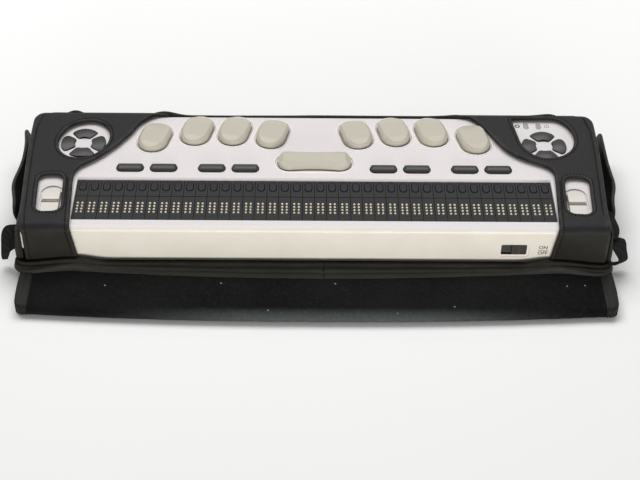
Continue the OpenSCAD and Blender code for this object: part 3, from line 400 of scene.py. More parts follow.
def fleece():
    """Short black nap with tufts and lint, and a painted sheen: a paler bow where the fold catches the light.
    """
    p = Paint("fleece", IOR=1.35, Sheen_Weight=0.05, Sheen_Roughness=0.45, Specular_IOR_Level=0.1)
    nap, tufts, cloud = p.noise(2400, 4, 0.7), p.noise(520, 4, 0.6), p.noise(30, 4)
    picked = p.cells(60, out="Color", space="2D").step(0.66, 0.7)
    lint = (1 - p.cells(60, space="2D").step(0.016, 0.034)) * picked
    tone = p.mix(cloud.step(0.3, 0.75), (12, 12, 12), (21, 21, 21))
    tone = p.mix(tufts.step(0.45, 0.8) * 0.6, tone, (34, 34, 34))
    # Painted sheen: the nap at the fold is painted paler in the middle, where the light catches it.
    fold_sheen = 1 - p.axis("Y").step((FOLD_Y - 7.5) * MM, (FOLD_Y + 1) * MM)
    fold_sheen = fold_sheen * p.axis("X").band(-20 * MM, 50 * MM, 100 * MM)
    tone = p.mix(fold_sheen * (0.45 + 0.55 * tufts), tone, (88, 92, 91))
    p.set(Base_Color=p.mix(lint, tone, (150, 148, 142)), Roughness=0.92 + 0.06 * nap)
    p.set(Normal=p.bump(nap * 0.5 + tufts, 0.7, 0.25))
    return p.material


def webbing():
    """Crossed threads with a little fuzz."""
    p = Paint("webbing", IOR=1.4, Specular_IOR_Level=0.2)
    fuzz = p.noise(1800, 4, 0.7)
    weave = p.wave("Y", 260.0, 0.6) * 0.6 + p.wave("DIAGONAL", 190.0) * 0.4
    p.set(Base_Color=p.mix(weave * 0.7 + fuzz * 0.3, (7, 7, 7), (31, 31, 30)))
    p.set(Roughness=0.75 + 0.15 * fuzz)
    p.set(Normal=p.bump(weave + 0.4 * fuzz, 0.8, 0.25))
    return p.material


LEATHER, BINDING, FLEECE, WEBBING = leather(), binding(), fleece(), webbing()
SUEDE = moulded("suede", (204, 197, 178), (222, 216, 199), 0.85, 0.05, gloss=0.2)
THREAD = moulded("thread", (7, 7, 7), (13, 13, 13), 0.7, 0.03, gloss=0.2)
print("soft finishes:", LEATHER.name, BINDING.name, FLEECE.name, WEBBING.name)

# %% [markdown]
# ## Making and placing a piece
#
# Every piece is a mesh whose place is in its vertices, so that textures in object space sit still on it.
# Once it is in place it rides on the body of the node that it stands for, and that node is hidden.

# %% Helpers for meshes
def add_object(name, data):
    """A new object at the origin, in the scene."""
    obj = bpy.data.objects.new(name, data)
    bpy.context.scene.collection.objects.link(obj)
    return obj


def add_piece(name, verts, faces, *materials, wear=None):
    """A new object from points in millimetres; wear is one number for each point."""
    mesh = bpy.data.meshes.new(name)
    mesh.from_pydata((np.asarray(verts, float) * MM).tolist(), [], [list(map(int, f)) for f in faces])
    for material in materials:
        mesh.materials.append(material)
    if wear is not None:
        mesh.attributes.new("wear", "FLOAT", "POINT").data.foreach_set("value", np.asarray(wear, np.float32))
    return add_object(name, mesh)


def ring_faces(rings, count, loop=False):
    """Four-sided faces between rings of as many points each; a loop joins the last ring to the first."""
    return [[i * count + j, i * count + (j + 1) % count,
             (i + 1) % rings * count + (j + 1) % count, (i + 1) % rings * count + j]
            for i in range(rings if loop else rings - 1) for j in range(count)]


def smooth(obj, sharp):
    """Shades an object smoothly, apart from edges that turn by more than an angle."""
    obj.data.shade_smooth()
    obj.data.set_sharp_from_angle(angle=math.radians(sharp))
    return obj


def closed(obj, sharp=60):
    """Turns the faces of a closed mesh outwards and shades it smoothly."""
    work = bmesh.new()
    work.from_mesh(obj.data)
    bmesh.ops.recalc_face_normals(work, faces=work.faces)
    work.to_mesh(obj.data)
    work.free()
    return smooth(obj, sharp)


def settle(obj):
    """Makes the result of an object's modifiers its own plain mesh."""
    graph = bpy.context.evaluated_depsgraph_get()
    mesh = bpy.data.meshes.new_from_object(obj.evaluated_get(graph))
    obj.modifiers.clear()
    obj.data = mesh
    return obj


def place(obj, body, slot, *nodes):
    """The piece rides on a body and stands for some CAD nodes, which it hides; slot is not used."""
    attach(obj, body)
    if nodes:
        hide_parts(*nodes)
    return obj


print("piece helpers ready")

# %% Copies of solids with soft edges
def cad_copy(node, name, material):
    """A merged copy of a CAD node, with its flat faces whole again, as a new object at the origin."""
    work = bmesh.new()
    work.from_mesh(cad_nodes[node].data)
    bmesh.ops.remove_doubles(work, verts=work.verts, dist=2e-6)
    bmesh.ops.dissolve_limit(work, angle_limit=math.radians(0.6), verts=work.verts, edges=work.edges)
    mesh = bpy.data.meshes.new(name)
    work.to_mesh(mesh)
    work.free()
    for attribute in [a.name for a in mesh.attributes if a.name == "custom_normal"]:
        mesh.attributes.remove(mesh.attributes[attribute])
    mesh.materials.clear()
    mesh.materials.append(material)
    return add_object(name, mesh)


def soften(obj, width, segments=3, angle=24, sharp=40):
    """Rounds the edges that turn by more than an angle and keeps flat faces flat; width in millimetres."""
    bevel = obj.modifiers.new("soft edges", "BEVEL")
    bevel.width, bevel.segments, bevel.limit_method = width * MM, segments, "ANGLE"
    bevel.angle_limit, bevel.use_clamp_overlap = math.radians(angle), True
    smooth(settle(obj), sharp)
    even = obj.modifiers.new("even normals", "WEIGHTED_NORMAL")
    even.keep_sharp = True
    return settle(obj)


def dress(node, name, material, body, slot, *soft):
    """A softened copy of a CAD node, in its place; soft is what soften takes."""
    return place(soften(cad_copy(node, name, material), *soft), body, slot, node)


print("solid helpers ready")

# %% [markdown]
# ## The upper shell
#
# The shell is one moulding: a plate with wells for the keys, the bevelled opening of the braille line,
# and walls that meet the base plate. Real mouldings have no sharp edge, so a copy of the solid is merged
# and its edges are rounded by a third of a millimetre. Larger radii, such as those along the front and
# back, are already in the solid.

# %% Upper shell
shell = dress("top_shell", "shell", SILVER, ROOT, "shell", 0.3)
print("shell faces:", len(shell.data.polygons))

# %% [markdown]
# ## Keys
#
# Keys are moulded too, with softer edges where fingers rest. Each rides on its own body, so that it still
# goes down. The braille keys have a crease towards the back; the small keys are rounded more, which gives
# their ridge its glint.

# %% Keys of all kinds
braille_keys = [n for n in cad_nodes if n.startswith("key_dot_")] + ["space_bar"]
KEY_KINDS = [
    (braille_keys, BEIGE, "key_beige", 0.35, 3, 7),
    ([n for n in cad_nodes if n.startswith("function_key_")], BLACK, "key_black", 0.9, 5),
    ([n for n in cad_nodes if "_pad_" in n], BLACK, "key_black", 0.6, 4),
    ([n for n in cad_nodes if "_scroll_" in n], PALE, "key_beige", 0.4),
    (["power_slider"], GREY, "key_black", 0.12, 2)]
for nodes, finish, slot, *soft in KEY_KINDS:
    for node in nodes:
        dress(node, node + "_cap", finish, cad_nodes[node]["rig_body"], slot, *soft)
print("keys:", [len(nodes) for nodes, *_ in KEY_KINDS])

# %% [markdown]
# ## The braille line
#
# Forty cells stand side by side, and each has the same cap, eight pins and one routing key. One cell is
# taken from the solid and softened, and Geometry Nodes repeats it along the line. The pins are many, so
# one pin is a small lathed dome of a few faces.

# %% Geometry Nodes: a row of copies
class Maker(Graph):
    """A Geometry Nodes tree with named inputs."""

    def __init__(self, name, **inputs):
        super().__init__(bpy.data.node_groups.new(name, "GeometryNodeTree"))
        new_socket = self.tree.interface.new_socket
        for title, kind in {"Geometry": "Geometry", **inputs, "Finish": "Material"}.items():
            new_socket(title, in_out="INPUT", socket_type="NodeSocket" + kind)
        new_socket("Geometry", in_out="OUTPUT", socket_type="NodeSocketGeometry")
        self.inputs = self.tree.nodes.new("NodeGroupInput").outputs

    def given(self, title):
        """One of the tree's inputs."""
        return Wire(self, self.inputs[title])

    def copies(self, points, instance, **sockets):
        """Puts copies on points, makes them real, gives them their finish and ends the tree."""
        sockets = {"Points": points, "Instance": instance, **sockets}
        made = self.node("GeometryNodeInstanceOnPoints", {}, sockets)
        real = self.node("GeometryNodeRealizeInstances", {}, {0: made})
        finish = {"Geometry": real, "Material": self.given("Finish")}
        painted = self.node("GeometryNodeSetMaterial", {}, finish)
        self.feed(self.tree.nodes.new("NodeGroupOutput").inputs[0], painted)
        return self.tree


def row_tree():
    """Copies of the given piece in a row along X."""
    maker = Maker("row of cells", Count="Int", Pitch="Float")
    step = maker.node("ShaderNodeCombineXYZ", {}, {"X": maker.given("Pitch")})
    line = maker.node("GeometryNodeMeshLine", {}, {"Count": maker.given("Count"), "Offset": step})
    return maker.copies(line, maker.given("Geometry"))


def run_tree(obj, tree, **values):
    """Runs a tree on an object with values for its named inputs, and keeps the result as a mesh."""
    modifier = obj.modifiers.new(tree.name, "NODES")
    modifier.node_group = tree
    for item in tree.interface.items_tree:
        if item.in_out == "INPUT" and item.name in values:
            modifier[item.identifier] = values[item.name]
    return settle(obj)


ROW = row_tree()
print("tree:", ROW.name, len(ROW.nodes), "nodes")

# %% One cell out of forty, and one pin
def first_island(obj):
    """Keeps the leftmost connected island of a mesh, and returns the step to the next one in metres."""
    work = bmesh.new()
    work.from_mesh(obj.data)
    left, islands = set(work.verts), []
    while left:
        island, edge = set(), [left.pop()]
        while edge:
            vert = edge.pop()
            island.add(vert)
            near = {e.other_vert(vert) for e in vert.link_edges} - island
            edge += near & left
            left -= near
        islands.append((min(v.co.x for v in island), island))
    islands.sort(key=lambda pair: pair[0])
    bmesh.ops.delete(work, geom=[v for _, island in islands[1:] for v in island], context="VERTS")
    work.to_mesh(obj.data)
    work.free()
    return islands[1][0] - islands[0][0]


def dome(radius, low, high, turns=10, rings=3):
    """Points and faces of one upright pin with a round tip, in millimetres."""
    tip = np.linspace(0, math.pi / 2, rings + 1)[:-1]
    profile = [(radius, low)] + [(radius * math.cos(a), high - radius + radius * math.sin(a)) for a in tip]
    angles = np.arange(turns) * 2 * math.pi / turns
    verts = [(r * math.cos(a), r * math.sin(a), z) for r, z in profile for a in angles] + [(0, 0, high)]
    faces = ring_faces(len(profile), turns)
    top = (len(profile) - 1) * turns
    faces += [[top + j, top + (j + 1) % turns, len(verts) - 1] for j in range(turns)]
    return np.array(verts), faces + [list(range(turns))[::-1]]


print("cell helpers ready")

# %% Caps, routing keys and pins
CELLS, PIN_R = 40, 0.65


def along_line(obj, finish, body, slot, node):
    """Repeats a piece of the first cell along the braille line."""
    return place(run_tree(obj, ROW, Count=CELLS, Pitch=pitch, Finish=finish), body, slot, node)


caps = cad_copy("braille_cells", "caps", CHARCOAL)
pitch = first_island(caps)
along_line(soften(caps, 0.16, 2), CHARCOAL, ROOT, "cell_black", "braille_cells")
routing = cad_copy("routing_keys", "routing", ROUTING)
first_island(routing)
along_line(soften(routing, 0.3, 3), ROUTING, "routing_keys", "cell_black", "routing_keys")
pin_low, pin_high = span("dot_pins")
pin_gap = (pin_high[1] - pin_low[1] - 2 * PIN_R) / 3
pin, pin_faces = dome(PIN_R, pin_low[2], pin_high[2])
first_pin = pin + [*(pin_low[:2] + PIN_R), 0]
places = [(column, row, 0) for column in range(2) for row in range(4)]
points = np.vstack([first_pin + pin_gap * np.array(at) for at in places])
faces = [[v + k * len(pin) for v in face] for k in range(len(places)) for face in pin_faces]
pins = closed(add_piece("pins", points, faces, CREAM))
along_line(pins, CREAM, "dot_pins", "dot_cream", "dot_pins")
print("pitch, mm:", round(pitch / MM, 3), "faces:", [len(o.data.polygons) for o in (caps, routing, pins)])

# %% [markdown]
# ## Marks and lamps
#
# Two oval lamp windows sit behind the right pad, and the slider's two ends are marked. The marks are
# printed, so they are meshes a few hundredths of a millimetre thick, lying on the faces.

# %% Lamps
lamps = dress("status_lights", "lamps", LAMP, ROOT, "light", 0.25)
print("lamp faces:", len(lamps.data.polygons))

# %% Flat marks as thin meshes
def printed(name, text, size, turn, at):
    """A word as a thin mesh, turned and moved into place; sizes in millimetres."""
    curve = bpy.data.curves.new(name, "FONT")
    curve.body, curve.size, curve.extrude, curve.offset = text, size * MM, 0.02 * MM, 0.05 * MM
    curve.align_x, curve.align_y = "CENTER", "CENTER"
    words = add_object(name + "_curve", curve)
    graph = bpy.context.evaluated_depsgraph_get()
    mesh = bpy.data.meshes.new_from_object(words.evaluated_get(graph))
    bpy.data.objects.remove(words)
    mesh.transform(Matrix.Translation(Vector(at) * MM) @ turn)
    return mesh


def ring(radius, width, arc=360.0, start=90.0, steps=28):
    """Points and faces of a flat ring or part of one."""
    angles = np.radians(np.linspace(start, start + arc, steps + 1))
    inner, outer = radius - width / 2, radius + width / 2
    verts = [(r * math.cos(a), r * math.sin(a), 0) for a in angles for r in (inner, outer)]
    return verts, [[2 * i, 2 * i + 1, 2 * i + 3, 2 * i + 2] for i in range(steps)]


def merge_meshes(name, meshes, material):
    """One object from several meshes."""
    work = bmesh.new()
    for mesh in meshes:
        work.from_mesh(mesh)
    joined = bpy.data.meshes.new(name)
    work.to_mesh(joined)
    work.free()
    joined.materials.append(material)
    return add_object(name, joined)


def flat_mesh(verts, faces, turn, at, thick=0.04):
    """Flat points made into a thin solid, turned and moved into place."""
    n = len(verts)
    solid = [(x, y, z + up) for up in (thick / 2, -thick / 2) for x, y, z in verts]
    edges = [pair for face in faces for pair in zip(face, face[1:] + face[:1])]
    rim = [[b, a, a + n, b + n] for a, b in edges if (b, a) not in edges]
    under = [[v + n for v in face[::-1]] for face in faces]
    mesh = bpy.data.meshes.new("flat")
    mesh.from_pydata([Vector(v) * MM for v in solid], [], faces + under + rim)
    mesh.transform(Matrix.Translation(Vector(at) * MM) @ turn)
    return mesh


def stroke(x, low, high):
    """A flat upright bar of half width x, as points and faces."""
    return [(-x, low, 0), (x, low, 0), (x, high, 0), (-x, high, 0)], [[0, 1, 2, 3]]


print("mark helpers ready")

# %% Printed marks
FACING_FRONT, FACING_UP = Matrix.Rotation(math.radians(90), 4, "X"), Matrix.Identity(4)
MARK_SIZE, MARK_GAP = 3.0, 1.9
DOT_RING, OPEN_RING = (1.15, 0.75), (1.15, 0.3, 290, 125)
slide_at = middle("power_slider")
at = np.array([slide_at[0] + 12.6, shell_low[1] - 0.01, slide_at[2]])
marks = [
    printed("on", "ON", MARK_SIZE, FACING_FRONT, at + [0, 0, MARK_GAP]),
    printed("off", "OFF", MARK_SIZE, FACING_FRONT, at - [0, 0, MARK_GAP]),
    flat_mesh(*stroke(2.6, -0.14, 0.14), FACING_FRONT, at)]
lamp_low, lamp_high = span("status_lights")
lamp_y, lamp_z = (lamp_low[1] + lamp_high[1]) / 2, lamp_high[2] + 0.01
before, after = (lamp_low[0] - 3.0, lamp_y, lamp_z), (lamp_high[0] + 3.0, lamp_y, lamp_z)
marks += [
    flat_mesh(*ring(*DOT_RING), FACING_UP, before),
    flat_mesh(*ring(*OPEN_RING), FACING_UP, after),
    flat_mesh(*stroke(0.17, 0.3, 1.5), FACING_UP, after)]
print_marks = merge_meshes("printed_marks", marks, INK)
place(print_marks, ROOT, "cell_black")
print("printed marks:", len(print_marks.data.polygons), "faces at", np.round(slide_at, 1))

# %% [markdown]
# ## Sockets and inner pieces
#
# The sockets at the two ends show through the ports of the case, so their edges are softened. Pieces that
# only show in an opened or moved pose keep the solid's own mesh and get a finish.

# %% Sockets and inner pieces
for node in ("usb_socket", "card_socket", "power_socket"):
    finish, slot = (BLACK, "key_black") if node == "power_socket" else (METAL, "metal")
    dress(node, node + "_shell", finish, ROOT, slot, 0.12, 2)
dress("bottom_shell", "base_plate", BASE, ROOT, "base", 0.5)
INNER = {"main_board": BOARD, "key_switches": BLACK, "cell_actuators": PIEZO, "battery_pack": WRAP,
         "base_screws": METAL, "device_feet": RUBBER}
for node, finish in INNER.items():
    cad_nodes[node].data.materials.clear()
    cad_nodes[node].data.materials.append(finish)
print("inner pieces finished:", len(INNER))

# %% [markdown]
# ## Leather panels
#
# A leather case is cut from flat sheets that are bent, turned under at the edges and sewn. So a panel
# starts as a flat outline with holes. The outline is filled with triangles, closer together near its
# edges, and each point gets a height: the edge is rounded, a padded rim stands beside it, and a shallow
# groove is pressed in along each seam. A function then bends the flat points into place. The distance to
# the cut edge is kept as the attribute "wear".

# %% Outlines in the plane
def resample(points, spacing, loop=True):
    """Points spaced evenly along a line, by default a closed one."""
    points = np.asarray(points, float)
    path = np.vstack([points, points[:1]]) if loop else points
    length = np.r_[0, np.cumsum(np.linalg.norm(np.diff(path, axis=0), axis=1))]
    count = max(int(round(length[-1] / spacing)), 3)
    at = np.linspace(0, length[-1], count + 1)[: count + (0 if loop else 1)]
    return np.stack([np.interp(at, length, path[:, k]) for k in range(path.shape[1])], 1)


def bezier(a, b, c, d, steps=24):
    """A cubic curve from a to d, drawn towards b and c."""
    t = np.linspace(0, 1, steps + 1)[:, None]
    a, b, c, d = (np.array(p, float) for p in (a, b, c, d))
    return (1 - t) ** 3 * a + 3 * t * (1 - t) ** 2 * b + 3 * t * t * (1 - t) * c + t ** 3 * d


def smooth_path(points, steps=8):
    """A Catmull-Rom curve through points."""
    points = np.asarray(points, float)
    full = np.vstack([2 * points[0] - points[1], points, 2 * points[-1] - points[-2]])
    t = np.linspace(0, 1, steps, endpoint=False)[:, None]
    parts = []
    for a, b, c, d in zip(full, full[1:], full[2:], full[3:]):
        square, cube = 2 * a - 5 * b + 4 * c - d, 3 * b - a - 3 * c + d
        parts.append(0.5 * (2 * b + (c - a) * t + square * t ** 2 + cube * t ** 3))
    return np.vstack(parts + [points[-1:]])


def rectangle(x0, y0, x1, y1):
    """Its four corners, anticlockwise."""
    return [(x0, y0), (x1, y0), (x1, y1), (x0, y1)]


def rounded(corners, radii):
    """A closed outline through corners, each rounded by its own radius."""
    corners = [np.array(c, float) for c in corners]
    line = []
    for i, (corner, r) in enumerate(zip(corners, radii)):
        u, v = corners[i - 1] - corner, corners[(i + 1) % len(corners)] - corner
        u, v = u / np.linalg.norm(u), v / np.linalg.norm(v)
        reach = r / math.tan(math.acos(np.clip(u @ v, -0.999, 0.999)) / 2)
        p, q = corner + u * reach, corner + v * reach
        line.append(bezier(p, p + (corner - p) * 0.55, q + (corner - q) * 0.55, q, 8))
    return np.vstack(line)


def offset(loop, distance):
    """A closed line moved to its left by a distance."""
    along = np.roll(loop, -1, 0) - np.roll(loop, 1, 0)
    along /= np.linalg.norm(along, axis=1, keepdims=True)
    return loop + distance * np.stack([-along[:, 1], along[:, 0]], 1)


def around(hole, distance):
    """A closed line round a hole, a distance away from it."""
    return offset(turned_left(resample(hole, 1.0))[::-1], distance)


def turned_left(loop):
    """The loop, running anticlockwise."""
    x, y = loop[:, 0], loop[:, 1]
    return loop if np.sum(x * np.roll(y, -1) - y * np.roll(x, -1)) > 0 else loop[::-1]


def turned(points, angle):
    """Points turned anticlockwise about the origin."""
    x, y = np.asarray(points, float).T
    return np.stack([x * math.cos(angle) - y * math.sin(angle), x * math.sin(angle) + y * math.cos(angle)], 1)


def left_of(line):
    """Unit directions to the left of a line, at each of its points."""
    along = np.gradient(line, axis=0)
    return np.stack([-along[:, 1], along[:, 0]], 1) / np.linalg.norm(along, axis=1, keepdims=True)


print("outline helpers ready")

# %% Curves of height, and distances
def ease(x, low, high):
    """0 at low, 1 at high, smooth between."""
    t = np.clip((x - low) / (high - low), 0, 1)
    return t * t * (3 - 2 * t)


def hump(x, at, wide):
    """A smooth hump, 1 high."""
    return np.exp(-((x - at) / wide) ** 2)


def within(points, loop):
    """Which points lie inside a closed line."""
    a, b = loop, np.roll(loop, -1, 0)
    x, y = points[:, :1], points[:, 1:]
    crosses = (a[:, 1] > y) != (b[:, 1] > y)
    with np.errstate(divide="ignore", invalid="ignore"):
        at = a[:, 0] + (y - a[:, 1]) * (b[:, 0] - a[:, 0]) / (b[:, 1] - a[:, 1])
    return (crosses & (x < at)).sum(1) % 2 == 1


def gap(points, lines, batch=2000):
    """Distance from each point to the nearest of some lines, given as (points, closed)."""
    best = np.full(len(points), 1e9)
    for line, loop in lines:
        a = line if loop else line[:-1]
        b = np.roll(line, -1, 0) if loop else line[1:]
        ab = b - a
        size = np.maximum((ab ** 2).sum(1), 1e-12)
        for part in (slice(k, k + batch) for k in range(0, len(points), batch)):
            p = points[part, None, :]
            t = np.clip(((p - a) * ab).sum(2) / size, 0, 1)
            far = np.linalg.norm(p - a - t[..., None] * ab, axis=2)
            best[part] = np.minimum(best[part], far.min(1))
    return best


print("distance helpers ready")

# %% The panel
RINGS = (0.25, 0.6, 1.1, 1.7, 2.3, 2.9, 3.6)
RIM_STEP, HOLE_STEP = 1.4, 1.1
PAD_RUN, SEAM_DEPTH = 9.0, 0.12


def waves(points, seed, length, count=9):
    """A smooth random height between about -1 and 1, with waves of about that length."""
    rng = np.random.default_rng(seed)
    turn = rng.uniform(0, 2 * math.pi, count)
    pull = rng.uniform(0.6, 1.6, count) * 2 * math.pi / length
    phase = rng.uniform(0, 2 * math.pi, count)
    angle = points[:, :1] * np.cos(turn) * pull + points[:, 1:2] * np.sin(turn) * pull + phase
    return np.sin(angle).sum(1) / math.sqrt(count)


def fill_outline(rim, holes, grid):
    """Flat points and triangles inside a rim and outside its holes, and each point's distance to an edge."""
    loops = [rim] + holes
    edges = [(line, True) for line in loops]
    spots, links = [], []
    for line in loops:
        base = sum(len(s) for s in spots)
        spots.append(line)
        links += [(base + i, base + (i + 1) % len(line)) for i in range(len(line))]
    for line in loops:
        for d in RINGS:
            inset = offset(line, d)
            spots.append(inset[gap(inset, edges) > d - 0.08])
    low, high = rim.min(0), rim.max(0)
    xs, ys = np.meshgrid(np.arange(low[0], high[0], grid), np.arange(low[1], high[1], grid * 0.87))
    xs = xs + (np.arange(len(xs)) % 2)[:, None] * grid / 2
    inner = np.stack([xs.ravel(), ys.ravel()], 1)
    spots.append(inner[gap(inner, edges) > RINGS[-1] + grid * 0.5])
    verts, _, faces, *_ = delaunay_2d_cdt([Vector(p) for p in np.vstack(spots)], links, [], 0, 1e-4)
    verts, faces = np.array(verts), np.array(faces)
    centre = verts[faces].mean(1)
    keep = within(centre, rim)
    for hole in holes:
        keep &= ~within(centre, hole)
    used, index = np.unique(faces[keep], return_inverse=True)
    return verts[used], index.reshape(-1, 3), gap(verts[used], edges)


def leather_panel(name, rim, holes, bend, seams, thick=1.8, roll=0.16, puff=0.25, ripple=0.12,
                  seed=1, grid=1.9, material=None):
    """A sewn leather sheet. bend(points, height) puts flat points in place; seams are (line, closed)."""
    rim = turned_left(resample(rim, RIM_STEP))
    holes = [turned_left(resample(hole, HOLE_STEP))[::-1] for hole in holes]
    verts, faces, d = fill_outline(rim, holes, grid)
    r = thick / 2
    fall = r - np.sqrt(np.maximum(r * r - (r - np.minimum(d, r)) ** 2, 0))
    away = 1 - np.exp(-d / 0.5)
    lift = roll * hump(d, 1.3, 0.8)
    lift = lift + puff * ease(d, 0, PAD_RUN) * (1 + waves(verts, seed, 34))
    if seams:
        lift = lift - SEAM_DEPTH * hump(gap(verts, seams), 0, 0.6)
    lift = lift + ripple * waves(verts, seed + 7, 11) * np.clip(d / PAD_RUN, 0, 1)
    top = bend(verts, away * lift - fall)
    edge = d < 1e-3
    lower = np.where(edge, np.arange(len(verts)), 0)
    lower[~edge] = len(verts) + np.arange((~edge).sum())
    bottom = bend(verts[~edge], (fall - thick)[~edge])
    wear = np.exp(-np.abs(d - 0.7) / 0.7)
    both = np.vstack([faces, lower[faces][:, ::-1]])
    obj = add_piece(name, np.vstack([top, bottom]), both, material or LEATHER, wear=np.r_[wear, wear[~edge]])
    return closed(obj, 75)


print("panel maker ready")

# %% [markdown]
# ## Stitches
#
# Seams are sewn with black thread, five or six stitches to the centimetre. Each seam is a line of edges
# on the leather; Geometry Nodes resamples it, puts a small drawn-out ball at each step and turns it a
# little, as a hand-fed machine does.

# %% Geometry Nodes: stitches along lines
STITCH_SHAKE = (0.06, 0.1, 0.12)


def stitch_tree():
    """A drawn-out ball at even steps along each line, each turned a little."""
    maker = Maker("stitches", Step="Float", Length="Float", Width="Float", Seed="Int")
    node, given = maker.node, maker.given
    curve = node("GeometryNodeMeshToCurve", {}, {0: given("Geometry")})
    even = node("GeometryNodeResampleCurve", {"mode": "LENGTH"}, {"Curve": curve, "Length": given("Step")})
    ball = node("GeometryNodeMeshUVSphere", {}, {"Segments": 6, "Rings": 4, "Radius": 0.5})
    size = node("ShaderNodeCombineXYZ", {}, {"X": given("Length"), "Y": given("Width"), "Z": given("Width")})
    along = node("GeometryNodeInputTangent")
    turn = node("FunctionNodeAlignRotationToVector", {"axis": "X"}, {"Vector": along})
    limits = {0: [-v for v in STITCH_SHAKE], 1: STITCH_SHAKE, "Seed": given("Seed")}
    shake = node("FunctionNodeRandomValue", {"data_type": "FLOAT_VECTOR"}, limits)
    twist = node("FunctionNodeRotateRotation", {}, {0: turn, 1: shake})
    return maker.copies(even, ball, Scale=size, Rotation=twist)


STITCH = stitch_tree()


def sew(name, seams, bend, sunk, body, seed, step=1.8, length=0.95, width=0.7):
    """Stitches along flat (points, closed) seams, bent into place; sunk is how deep, in millimetres."""
    verts, links = [], []
    for seam, loop in seams:
        line = bend(seam, np.full(len(seam), -sunk))
        base, last = len(verts), len(verts) + len(line) - 1
        verts += (line * MM).tolist()
        links += [(i, i + 1) for i in range(base, last)]
        if loop:
            links.append((last, base))
    mesh = bpy.data.meshes.new(name)
    mesh.from_pydata(verts, links, [])
    obj = add_object(name, mesh)
    run_tree(obj, STITCH, Step=step * MM, Length=length * MM, Width=width * MM, Seed=seed, Finish=THREAD)
    obj.data.shade_smooth()
    return place(obj, body, "leather")


print("tree:", STITCH.name, len(STITCH.nodes), "nodes")

# %% [markdown]
# ## Rims and ribs of the shell
#
# A fine raised rim runs round the recess of each braille key and of the space bar. It follows the outline
# of the key at the level of the shell, a little way out, and is painted lighter than the shell, a painted
# highlight. A low rib parts the two scroll keys at each end.

# %% Rims round the keys and ribs between the scroll keys
RIM_OUT, RIM_HALF = 1.75, 0.42
RIB_RISE, RIB_CLEAR = 1.05, 0.22


def key_rim(node):
    """A closed bead round a key, painted lighter than the shell as a painted highlight."""
    verts = np.array([v.co for v in cad_nodes[node].data.vertices]) / MM
    verts = verts[verts[:, 2] > SHELL_TOP + 0.3][:, :2]
    hull = verts[convex_hull_2d([Vector(v) for v in verts])]
    loop = offset(turned_left(resample(hull, 0.8)), -RIM_OUT)
    out = offset(loop, -1.0) - loop
    angle = np.radians(np.arange(0, 360, 45))
    across, height = RIM_HALF * np.cos(angle), SHELL_TOP - 0.12 + RIM_HALF * np.sin(angle)
    points = np.vstack([np.column_stack([p + np.outer(across, n), height]) for p, n in zip(loop, out)])
    faces = ring_faces(len(loop), len(angle), loop=True)
    return place(closed(add_piece(node + "_rim", points, faces, RIM_HIGHLIGHT)), ROOT, "shell")


def scroll_rib(hand):
    """A block between two scroll keys, with its edges rounded."""
    down, up = span(f"{hand}_scroll_down"), span(f"{hand}_scroll_up")
    low = (down[0][0] + RIB_CLEAR, down[1][1] + RIB_CLEAR, SHELL_TOP - 0.9)
    high = (down[1][0] - RIB_CLEAR, up[0][1] - RIB_CLEAR, SHELL_TOP + RIB_RISE)
    corners = [[(low, high)[b][k] for k, b in enumerate(bits)] for bits in np.ndindex(2, 2, 2)]
    faces = [(0, 1, 3, 2), (4, 6, 7, 5), (0, 4, 5, 1), (2, 3, 7, 6), (0, 2, 6, 4), (1, 5, 7, 3)]
    return place(soften(add_piece(hand + "_scroll_rib", corners, faces, SILVER), 0.3), ROOT, "shell")


rims = [key_rim(node) for node in braille_keys]
ribs = [scroll_rib(hand) for hand in SIDES]
print("rims:", len(rims), "ribs:", len(ribs), "rib faces:", len(ribs[0].data.polygons))

# %% [markdown]
# ## Shoulders of the case
#
# Two leather shoulders hold the device down. Each is one sheet: it lies over the top, bends over the
# front edge and is sewn to the floor. Its inner edge swings outwards in an S so that the keys are free,
# and two windows open over the pad and the scroll keys. The left window is a leaning oval, and the right
# one is a D. The flat pattern has the distance from the middle of the case as its first coordinate and
# the way from the back edge, along the sheet, as its second.

# %% Bending a flat sheet
def surface(shape, out=1):
    """A bend for leather_panel from a function of flat points; heights go along the surface's normal."""
    def bend(points, height):
        points = np.asarray(points, float)
        step = 0.02
        here = shape(points)
        across = np.cross(shape(points + [step, 0]) - here, shape(points + [0, step]) - here)
        across /= np.linalg.norm(across, axis=1, keepdims=True)
        return here + out * across * np.asarray(height)[:, None]
    return bend


BEND, BACK_BEND, BACK_START = 4.0, 3.5, 5.8
BEND_START = 2 * CASE_Y - BEND
BEND_END = BEND_START + BEND * math.pi / 2
SHEET_END = BEND_END + SHEET_TOP - BEND - FLOOR
SHEET_BACK = BACK_START - BACK_BEND


def over_front(side):
    """The sheet's outer face: turned down at the back, flat on top, round at the front, then upright."""
    def shape(points):
        s = points[:, 1]
        angle = np.clip((s - BEND_START) / BEND, 0, math.pi / 2)
        tuck = np.clip((BACK_START - s) / BACK_BEND, 0, 1.2)
        y = CASE_Y - np.clip(s, BACK_START, BEND_START) - BEND * np.sin(angle) + BACK_BEND * np.sin(tuck)
        z = SHEET_TOP - BEND * (1 - np.cos(angle)) - BACK_BEND * (1 - np.cos(tuck))
        return np.stack([side * points[:, 0], y, z - np.maximum(s - BEND_END, 0)], 1)
    return surface(shape, -side)


print("sheet from back edge to floor, mm:", round(SHEET_END, 1))

